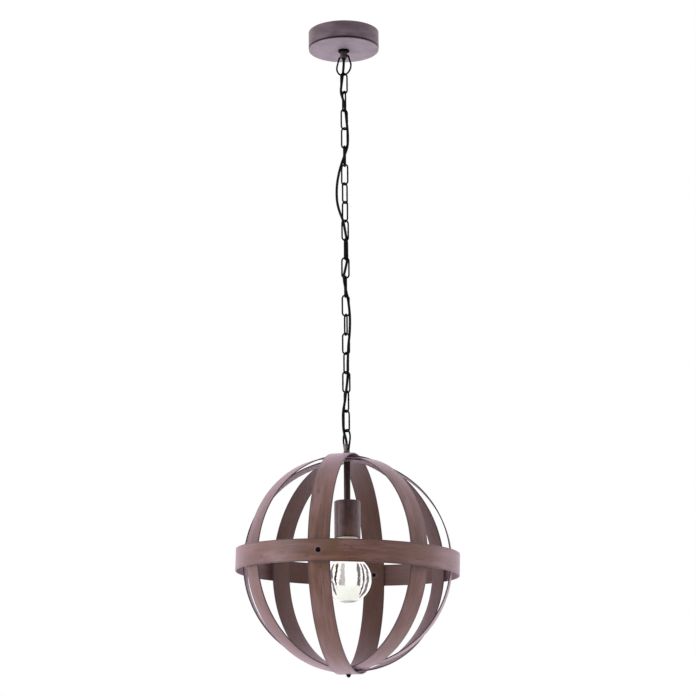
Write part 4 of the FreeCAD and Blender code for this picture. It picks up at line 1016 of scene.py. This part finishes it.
def supply_cord():
    """The cord in stretches that meet at seams inside the bails and links."""
    line = cord_line()
    seams = cord_seams()
    whole = {tuple(place): ahead for place, ahead in zip(line, tangents(line))}
    stretches = cut_line(line, seams)
    pairs = list(zip(HANGING, HANGING[1:]))
    # A seam's direction is the line's direction there, so that both tubes share one ring
    seam_directions = [(b[1] - a[-2]).normalized() for a, b in zip(stretches, stretches[1:])]
    for number, (stretch, pair) in enumerate(zip(stretches, pairs)):
        directions = [whole.get(tuple(p), Vector((0, 0, -1))) for p in stretch]
        if number > 0:
            directions[0] = seam_directions[number - 1]
        if number < len(pairs) - 1:
            directions[-1] = seam_directions[number]
        piece, length = cord_tube(f"cord_{number + 1:02d}", stretch, directions, LOOKS["cord_sheath"])
        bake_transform(piece)
        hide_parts("supply_cord")


def canopy():
    """The round ceiling cover, pressed from sheet, with a groove just above its rim."""
    outer, rim, top = round_size("canopy")
    wall = 0.001
    hole = 0.0051
    taper = 0.0004
    waist = outer - 0.0005
    slope = 0.0003
    groove_low = rim + 0.0014
    groove_high = rim + 0.0038
    inner = outer - wall
    floor = rim + wall
    outline = eased(
        (hole, rim), (outer - taper, rim, DOMED), (outer - taper / 2, groove_low, FINE),
        (waist, groove_low + slope), (waist, groove_high - slope), (outer, groove_high, FINE),
        (outer, top, FINE), (inner, top, FINE), (inner, floor, MILD), (hole, floor),
    )
    turned("canopy_shell", [outline], "root", "canopy_paint", "canopy", sides=160)


def nipple_and_nuts():
    """The threaded nipple that the canopy hangs on, its three nuts and the round nut under the canopy."""
    outer, low, high = round_size("ceiling_nipple")
    groove = 0.0006
    outline = threaded_outline(NIPPLE_BORE, outer, low, high, NIPPLE_PITCH / NIPPLE_ROWS, both=False)
    bend = thread(NIPPLE_PITCH, groove, low, high, from_radius=(NIPPLE_BORE + outer) / 2)
    turned("nipple_thread", [outline], "root", "zinc_steel", "ceiling_nipple", sides=40, bend=bend)

    _, low, high = round_size("nipple_nuts")
    flats = 0.014
    tall = 0.0032
    bracket = 0.0016
    bases = [high - tall, high - tall * 2 - bracket, low]
    outlines = [nut_outline(flats, NIPPLE_NUT_BORE, base, base + tall) for base in bases]
    bend = hexagon(flats, *(base + tall / 2 for base in bases))
    turned("nipple_nut_set", outlines, "root", "zinc_steel", "nipple_nuts", sides=HEXAGON_SIDES, bend=bend)

    outer, low, high = round_size("canopy_nut")
    draft = 0.0012
    chamfer = 0.001
    outline = eased((NIPPLE_NUT_BORE, low), (outer - draft, low, SOFT), (outer, low + chamfer, BLUNT),
                    (outer, high, BLUNT), (NIPPLE_NUT_BORE, high))
    turned("canopy_flange", [outline], "root", "dark_iron", "canopy_nut")


def upper_stem():
    """The stem that holds the upper bail, and the ribbed bush where the cord leaves it."""
    outer, foot, top = round_size("bail_socket")
    thread_depth = 0.005
    shelf = top - thread_depth
    outline = eased((NIPPLE_BORE, foot), (outer, foot, BROAD), (outer, top, BLUNT), (NIPPLE_NUT_BORE, top),
                    (NIPPLE_NUT_BORE, shelf), (NIPPLE_BORE, shelf))
    turned("bail_stem", [outline], "root", "dark_iron", "bail_socket", look="socket_paint",
           cutters=[pin_drill("ceiling_bail", outer)])

    _, low, high = round_size("cord_bush")
    slack = 0.0001
    bore = CORD_DIAMETER / 2 + slack
    seat = foot - SEAT_GAP
    first_rib = 0.0008
    neck = 0.00315
    collar = 0.0037
    tip = 0.0031
    swell = 0.0003
    rib = 0.001
    bevel = 0.0002
    ribs = []
    for i in range(4):
        height = low + first_rib + rib * i
        reach = tip + swell / 2 * i
        ribs += [(reach, height), (reach + swell, height + bevel), (reach + swell, height + bevel * 3),
                 (reach, height + bevel * 4)]
    outline = [(bore, low), (tip - bevel, low), *ribs, (collar, seat), (neck, seat), (neck, high),
               (bore, high)]
    turned("bush_ribbed", [outline], "root", "black_plastic", "cord_bush", sides=64)


def earth_screw():
    _, low, high = round_size("earth_screw")
    place = Vector((middle("earth_screw").x, 0, 0))
    shank = 0.002
    head = 0.00375
    dome = 0.0003
    seat = high - 0.0024
    slot_length = 0.009
    outline = eased((0, low), (shank, low, SOFT), (shank, seat), (head, seat, FINE),
                    (head, high - dome, DOMED), (0, high))
    turned("earth_screw_head", [outline], "root", "brass_metal", "earth_screw",
           cutters=[slot_cutter(place, high, slot_length)], sides=48, centre=place)


def bricks(name, boxes, ease, material):
    """Boxes given by their lowest and highest corners, with eased edges."""
    made = bmesh.new()
    for low, high in boxes:
        low = Vector(low)
        high = Vector(high)
        corners = bmesh.ops.create_cube(made, size=1.0)["verts"]
        bmesh.ops.scale(made, vec=high - low, verts=corners)
        bmesh.ops.translate(made, vec=(low + high) / 2, verts=corners)
    bmesh.ops.bevel(made, geom=made.edges[:], offset=ease, segments=3, affect="EDGES")
    return from_bmesh(name, made, material)


def terminal_block():
    """Three towers on a foot, each with two clamping screws in their wells."""
    low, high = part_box("terminal_block")
    place = middle("terminal_block")
    foot = low.z + 0.003
    towers = 3
    step = (high.y - low.y) / towers
    half_gap = 0.0005
    inset = 0.001
    boxes = [((low.x, low.y, low.z), (high.x, high.y, foot))]
    for i in range(towers):
        near = low.y + step * i + half_gap
        far = low.y + step * (i + 1) - half_gap
        boxes.append(((low.x + inset, near, foot - half_gap), (high.x - inset, far, high.z)))
    block = bricks("terminal_towers", boxes, SOFT, LOOKS["pale_plastic"])
    spacing = 0.005
    well = 0.0017
    depth = 0.003
    overrun = 0.001
    wells = [
        drill(well, (0, 0, 1), -depth, overrun,
              centre=Vector((place.x + x * spacing / 2, place.y + y * step, high.z)))
        for x in (-1, 1) for y in (-1, 0, 1)
    ]
    finished(bored(block, wells), "root", "pale_plastic", "terminal_block")
    brass = LOOKS["brass_metal"]
    screw = 0.0015
    foot = -0.0012
    sunk = 0.0017
    slot_top = 0.0006
    slot_length = 0.004
    head = spun("clamp_screw", [eased((0, foot), (screw, foot), (screw, 0, FINE), (0, 0))], brass, sides=24)
    head = bored(head, [slot_cutter(Vector(), slot_top, slot_length)])
    grid_shape().grow(head, {
        "Length": spacing,
        "Width": step * 2,
        "Along": 2,
        "Across": towers,
        "Material": brass,
    })
    screws = as_mesh(head, "clamp_screws", Matrix.Translation((place.x, place.y, high.z - sunk)))
    finished(screws, "root", "brass_metal")


def core(name, line, colour, body, node):
    """One insulated wire along a given line, smoothed as a spline."""
    source = path_curve(f"{name}_path", line, "NURBS")
    source.data.bevel_depth = CORE_DIAMETER / 2
    source.data.bevel_resolution = 4
    source.data.use_fill_caps = True
    source.data.materials.append(LOOKS[f"{colour}_core"])
    finished(as_mesh(source, name), body, "core_plastic", node)


def wires_inside():
    """The three cores under the canopy, and the lead in the stem with its two cores."""
    low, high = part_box("canopy_cores")
    top = high.z - CORE_DIAMETER / 2
    drop = 0.0035
    turn = 0.004
    kink = 0.0003
    for number, colour in enumerate(("brown", "blue", "green")):
        y = CORE_SPACING * (number - 1)
        line = [(0, y, low.z), (0, y, top - drop), (kink, y, top), (turn, y, top), (high.x, y, top)]
        core(f"core_{colour}", line, colour, "root", "canopy_cores")
    _, low, high = round_size("lamp_lead")
    inside_cover = 0.008
    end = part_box("lampholder_cover")[1].z - inside_cover
    sheath = CORD_DIAMETER / 2
    outline = eased((0, end), (sheath, end, FINE), (sheath, high), (0, high))
    turned("lead_sheath", [outline], "cage", "cord_sheath", "lamp_lead", sides=32)
    for side, colour in ((-1, "brown"), (1, "blue")):
        x = side * CORE_SPACING / 2
        line = [(x, 0, end), (x, 0, (end + low) / 2), (x, 0, low)]
        core(f"lead_core_{colour}", line, colour, "cage", "lamp_lead")


def hub():
    """The tube on top of the cage with its threaded neck, and the washer under it."""
    outer, foot, top = round_size("hanger_tube")
    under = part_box("top_washer")[1].z + SEAT_GAP
    bore = 0.0027
    neck = 0.004
    waist = outer - 0.0009
    lip = outer - 0.0004
    flange = 0.002
    slope = 0.001
    lip_height = 0.001
    lip_slope = 0.0006
    depth = 0.013
    outline = eased(
        (bore, foot), (neck, foot, SOFT), (neck, under), (outer, under, SOFT),
        (outer, under + flange, ROUND), (waist, under + flange + slope, ROUND),
        (waist, top - lip_height - lip_slope, SOFT), (lip, top - lip_height, SOFT), (lip, top, SOFT),
        (neck, top, FINE), (neck, top - depth, FINE), (bore, top - depth),
    )
    turned("hanger_neck", [outline], "cage", "hanger_paint", "hanger_tube",
           cutters=[pin_drill("cage_bail", outer)])
    outer, low, high = round_size("top_washer")
    outline = washer(NECK_HOLE, outer, low, high, SOFT)
    turned("top_washer_eased", [outline], "cage", "hanger_paint", "top_washer")


def hoop_washers():
    """Washers that keep the nested hoops apart at both poles, and the one above the stem."""
    radii = [ring_radius(node) for node, _, _, lean in STRIPS if lean == UPRIGHT]
    half = 0.008
    stem_washer = 0.0012
    top = []
    bottom = []
    for upper, lower in zip(radii, radii[1:]):
        inside = upper - STRIP_THICKNESS
        far = math.sqrt(inside ** 2 - half ** 2) - SEAT_GAP
        near = lower + SEAT_GAP
        top.append(washer(NECK_HOLE, half, near, far))
        bottom.append(washer(BOLT_HOLE, half, -far, -near))
    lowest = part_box("hoop_washers_top")[0].z - CAGE_CENTRE.z
    top.append(washer(NECK_HOLE, half, lowest, lowest + stem_washer))
    for pole, outlines in (("top", top), ("bottom", bottom)):
        turned(f"washers_{pole}", outlines, "cage", "zinc_steel", f"hoop_washers_{pole}",
               centre=CAGE_CENTRE)


def pivots():
    """Domed rivets that the band turns on, with the spacers between band and hoop."""
    hoop = ring_radius("hoop_outer")
    foot = 0.0032
    bevel = 0.0003
    shank = 0.00195
    head = 0.0042
    undercut = 0.0002
    straight = 0.0005
    rise = 0.0017
    spacer = 0.004
    foot_thickness = 0.0009
    foot_high = math.sqrt((hoop - STRIP_THICKNESS) ** 2 - foot ** 2) - SEAT_GAP
    foot_low = foot_high - foot_thickness
    head_low = BAND_RADIUS + SEAT_GAP
    rivet = [(0, foot_low), (foot - bevel, foot_low), (foot, foot_low + bevel), (foot, foot_high),
             (shank, foot_high), (shank, head_low), (head - undercut, head_low),
             *dome_rows(head, head_low + straight, rise, 9), (0, head_low + straight + rise)]
    spacer_high = math.sqrt((BAND_RADIUS - STRIP_THICKNESS) ** 2 - spacer ** 2) - SEAT_GAP
    slack = 0.0001
    ring = washer(shank + slack, spacer, hoop + SEAT_GAP, spacer_high)
    iron = LOOKS["dark_iron"]
    pair = pair_shape()
    for name, outline, node in (("rivets_domed", rivet, "band_rivets"),
                                ("spacers_turned", ring, "band_spacers")):
        source = spun(f"{name}_source", [outline], iron, sides=40)
        pair.grow(source, {"Direction": math.radians(OUTER_TURN), "Material": iron})
        finished(as_mesh(source, name, Matrix.Translation(CAGE_CENTRE)), "cage", "dark_iron", node)


def lamp_holder():
    """Stem, cover with its nut, ceramic body and the threaded shell."""
    outer, low, high = round_size("stem_tube")
    outline = eased((NECK_HOLE, low), (outer, low, SOFT), (outer, high, SOFT), (NECK_HOLE, high))
    turned("stem_turned", [outline], "cage", "dark_iron", "stem_tube", look="stem_paint")

    outer, rim, top = round_size("lampholder_cover")
    wall = 0.001
    hole = 0.0058
    shoulder = 0.003
    roll_inside = 0.0012
    roll_outside = 0.0009
    roll_reach = 0.0006
    nose = 0.0002
    tuck = 0.0003
    inner = outer - wall
    outline = eased(
        (hole, top - wall), (inner, top - wall, shoulder - wall), (inner, rim + roll_inside, SOFT),
        (inner - roll_reach, rim + nose), (inner - roll_reach + nose, rim), (outer - tuck, rim, FINE),
        (outer, rim + roll_outside, SOFT), (outer, top, shoulder), (hole, top), steps=8,
    )
    turned("cover_drawn", [outline], "cage", "cover_paint", "lampholder_cover", sides=128)

    _, low, high = round_size("cover_nut")
    flats = 0.017
    bore = 0.00575
    outline = nut_outline(flats, bore, low, high)
    turned("cover_nut_bevelled", [outline], "cage", "zinc_steel", "cover_nut",
           sides=HEXAGON_SIDES, bend=hexagon(flats, (low + high) / 2))

    outer, rim, top = round_size("lampholder_body")
    bore = 0.015
    passage = 0.004
    crown = 0.011
    shoulder = top - 0.01
    ceiling = rim + 0.033
    outline = eased(
        (bore, rim, ROUND), (outer, rim, FULL), (outer, shoulder, 0.0015), (crown, top, FULL),
        (passage, top, MILD), (passage, ceiling), (bore, ceiling, BROAD),
    )
    turned("holder_glazed", [outline], "cage", "ceramic", "lampholder_body")

    outer, low, high = round_size("screw_shell")
    thick = 0.0005
    groove = 0.0004
    lip = 0.01495
    roof = high - thick
    rows = threaded_outline(outer - thick, outer, low, roof, LAMP_PITCH / LAMP_ROWS)
    half = len(rows) // 2
    outline = rows[:half] + [(lip, roof), (lip, high), (outer - thick, high)] + rows[half:]
    turned("shell_threaded", [outline], "cage", "brass_metal", "screw_shell",
           sides=HEXAGON_SIDES, bend=thread(LAMP_PITCH, groove, low, roof))


def bulb_side(globe, neck, shoulder, top, steps=40):
    """Half outline of the bulb from its lowest point up: globe, hollow shoulder and neck."""
    across = neck + shoulder
    high = math.sqrt((globe + shoulder) ** 2 - across ** 2)
    meet = math.atan2(high, across)
    ball = [(globe * math.cos(a), globe * math.sin(a)) for a in np.linspace(-math.pi / 2, meet, steps)]
    bend = [(across + shoulder * math.cos(a), high + shoulder * math.sin(a))
            for a in np.linspace(meet + math.pi, math.pi, steps // 3)][1:]
    return [(abs(r), z) for r, z in ball + bend] + [(neck, top)]


def globe_glass():
    """The lamp's glass, closed at its neck."""
    _, low, high = round_size("bulb_glass")
    centre = Vector((0, 0, low + BULB_RADIUS))
    neck_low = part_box("bulb_cap")[0].z - BULB_NECK_LENGTH - centre.z
    shoulder = (neck_low ** 2 - BULB_RADIUS ** 2 + BULB_NECK ** 2) / (BULB_RADIUS - BULB_NECK) / 2
    top = high - centre.z
    roof = top - BULB_WALL
    bevel = 0.001
    passage = 0.003
    outside = bulb_side(BULB_RADIUS, BULB_NECK, shoulder, top - bevel)
    inside = bulb_side(BULB_RADIUS - BULB_WALL, BULB_NECK - BULB_WALL, shoulder + BULB_WALL,
                       roof - BULB_WALL)
    outline = outside + [(BULB_NECK - bevel, top), (passage, top), (passage, roof)]
    outline += [(BULB_NECK - BULB_WALL * 2, roof)] + inside[::-1]
    turned("globe_blown", [outline], "bulb", "clear_glass", "bulb_glass", look="lamp_glass",
           sides=128, centre=centre)


def glass_mount():
    """The glass foot that carries the filaments, wider towards the cap."""
    outer, low, high = round_size("bulb_stem")
    half = outer / 2
    straight = 0.01
    outline = eased((0, low), (half, low, BROAD), (half, low + straight, 0.004), (outer, high, BLUNT),
                    (0, high))
    turned("mount_glass", [outline], "bulb", "clear_glass", "bulb_stem", sides=48)


def lamp_cap():
    """The lamp's screw cap and the insulator and contact at its end."""
    outer, low, high = round_size("bulb_cap")
    thick = 0.0004
    roof = high - thick
    rim = round_size("bulb_insulator")[0]
    rows = threaded_outline(outer - thick, outer, low, roof, LAMP_PITCH / LAMP_ROWS)
    half = len(rows) // 2
    outline = rows[:half] + [(rim, high), (rim, roof)] + rows[half:]
    groove = 0.0009
    plain = 0.003
    shy = 0.0002
    wall_starts = 0.0125
    bend = thread(LAMP_PITCH, groove, low + plain, roof - shy, from_radius=wall_starts)
    turned("cap_threaded", [outline], "bulb", "bulb_cap_metal", "bulb_cap", sides=HEXAGON_SIDES, bend=bend)

    outer, low, high = round_size("bulb_insulator")
    tip = round_size("bulb_contact")[0] + 0.0004
    outline = eased((0, low), (outer, low, FINE), (tip, high, SOFT), (0, high))
    turned("insulator_moulded", [outline], "bulb", "black_plastic", "bulb_insulator", sides=64)
    outer, low, high = round_size("bulb_contact")
    outline = eased((0, low), (outer, low, TIGHT), (outer / 2, high, MILD), (0, high))
    turned("contact_pressed", [outline], "bulb", "bulb_cap_metal", "bulb_contact", sides=48)


def bottom_fasteners():
    """The bolt through the hoops at the lower pole, and the dome nut under it."""
    _, bolt_low, high = round_size("bottom_bolt")
    head = 0.0035
    seat = high - head
    flats = 0.008
    shank = 0.0025
    bevel = 0.0004
    outline = [(0, bolt_low), (shank - bevel, bolt_low), (shank, bolt_low + bevel), (shank, seat),
               *hexagon_rows(flats, seat, high), (0, high)]
    turned("bolt_hexagon", [outline], "cage", "dark_iron", "bottom_bolt",
           sides=HEXAGON_SIDES, bend=hexagon(flats, (seat + high) / 2))

    high = round_size("bottom_cap_nut")[2]
    hexagon_height = 0.0022
    base = high - hexagon_height
    flats = 0.0076
    dome = 0.0034
    bore = shank + SEAT_GAP
    end = bolt_low - SEAT_GAP
    bevel_above, corner_above, corner_below = hexagon_rows(flats, base, high)[:0:-1]
    outline = [(bore, high), bevel_above, corner_above, corner_below, *dome_rows(dome, base, -dome, 10),
               (0, base - dome), (0, end), (bore, end)]
    turned("dome_nut", [outline], "cage", "dark_iron", "bottom_cap_nut",
           sides=HEXAGON_SIDES, bend=hexagon(flats, (base + high) / 2))


def camera():
    data = bpy.data.cameras.new("camera")
    data.sensor_width = SENSOR_WIDTH
    data.lens = CAMERA_FOCUS_PIXELS * SENSOR_WIDTH / PICTURE_PIXELS
    data.clip_end = CAMERA_REACH
    made = new_object("camera", data)
    pitch = Matrix.Rotation(math.radians(90 + CAMERA_PITCH), 4, "X")
    roll = Matrix.Rotation(math.radians(CAMERA_ROLL), 4, "Z")
    made.matrix_world = Matrix.Translation(CAMERA_PLACE) @ pitch @ roll
    bpy.context.scene.camera = made


def side_lamp(name, place, size, power):
    """A lamp that shines on the cage's centre."""
    data = bpy.data.lights.new(name, "AREA")
    data.shape = "RECTANGLE"
    data.size, data.size_y = size
    data.energy = power
    made = new_object(name, data)
    made.location = place
    made.rotation_euler = (CAGE_CENTRE - Vector(place)).to_track_quat("-Z", "Y").to_euler()


def surroundings():
    """White behind everything, light all round that is weaker in front and below, lamps and a floor."""
    world = bpy.data.worlds.new("studio")
    world.use_nodes = True
    bpy.context.scene.world = world
    wiring = Wiring(world.node_tree)
    background = world.node_tree.nodes["Background"]
    background.inputs["Color"].default_value = (1, 1, 1, 1)
    path = wiring.node("ShaderNodeLightPath").outputs
    direction = wiring.node("ShaderNodeTexCoord").outputs["Generated"]
    forward = wiring.vectors("DOT_PRODUCT", direction, FRONT)
    dimmed = wiring.product(wiring.band(forward, 0.45, 0.92), 1 - FRONT_BRIGHTNESS)
    downward = wiring.vectors("DOT_PRODUCT", direction, (0, 0, -1))
    below = wiring.product(wiring.band(downward, 0.0, 0.5), 1 - BELOW_BRIGHTNESS)
    around = wiring.sum("SUBTRACT", wiring.sum("SUBTRACT", 1.0, below), dimmed, clamp=True)
    seen = wiring.sum("MAXIMUM", path["Is Camera Ray"], path["Is Transmission Ray"])
    wiring.join(wiring.sum("MAXIMUM", around, seen), background.inputs["Strength"])
    for name, (place, size, power) in SIDE_LAMPS.items():
        side_lamp(name, place, size, power)

    mesh = bpy.data.meshes.new("floor")
    signs = ((-1, -1), (1, -1), (1, 1), (-1, 1))
    corners = [(x * FLOOR_REACH, y * FLOOR_REACH, FLOOR_HEIGHT) for x, y in signs]
    mesh.from_pydata(corners, [], [(0, 1, 2, 3)])
    finish = Finish("pale floor", Roughness=0.9, Base_Color=(0.93, 0.93, 0.93, 1), Emission_Strength=0.07)
    mesh.materials.append(finish.material)
    new_object("floor", mesh)


def looks():
    """Fills the table of finishes, apart from the strips' own."""
    for key, (dark, light, options) in PLAIN_FINISHES.items():
        LOOKS[key] = plain_finish(key.replace("_", " "), dark, light, **options)
    LOOKS["chain_metal"] = LOOKS["dark_iron"]
    LOOKS["canopy_paint"] = canopy_finish()
    LOOKS["cover_paint"] = cover_finish()
    LOOKS["hanger_paint"] = hanger_finish()
    LOOKS["lamp_glass"] = lit_glass_finish()
    LOOKS["clear_glass"] = clear_glass_finish()


def pieces():
    """Every piece of the light, from the ceiling down, and the cord that runs through most of it."""
    for node, look in DRESSED.items():
        dress(node, LOOKS[look])
    canopy()
    nipple_and_nuts()
    upper_stem()
    earth_screw()
    terminal_block()
    wires_inside()
    wire = wire_shape()
    chain(wire)
    bails(wire)
    hub()
    hoop_washers()
    strips()
    pivots()
    lamp_holder()
    globe_glass()
    lamp_cap()
    glass_mount()
    bottom_fasteners()
    supply_cord()


camera()
surroundings()
looks()
pieces()

scene = bpy.context.scene
scene.view_settings.view_transform = "Standard"
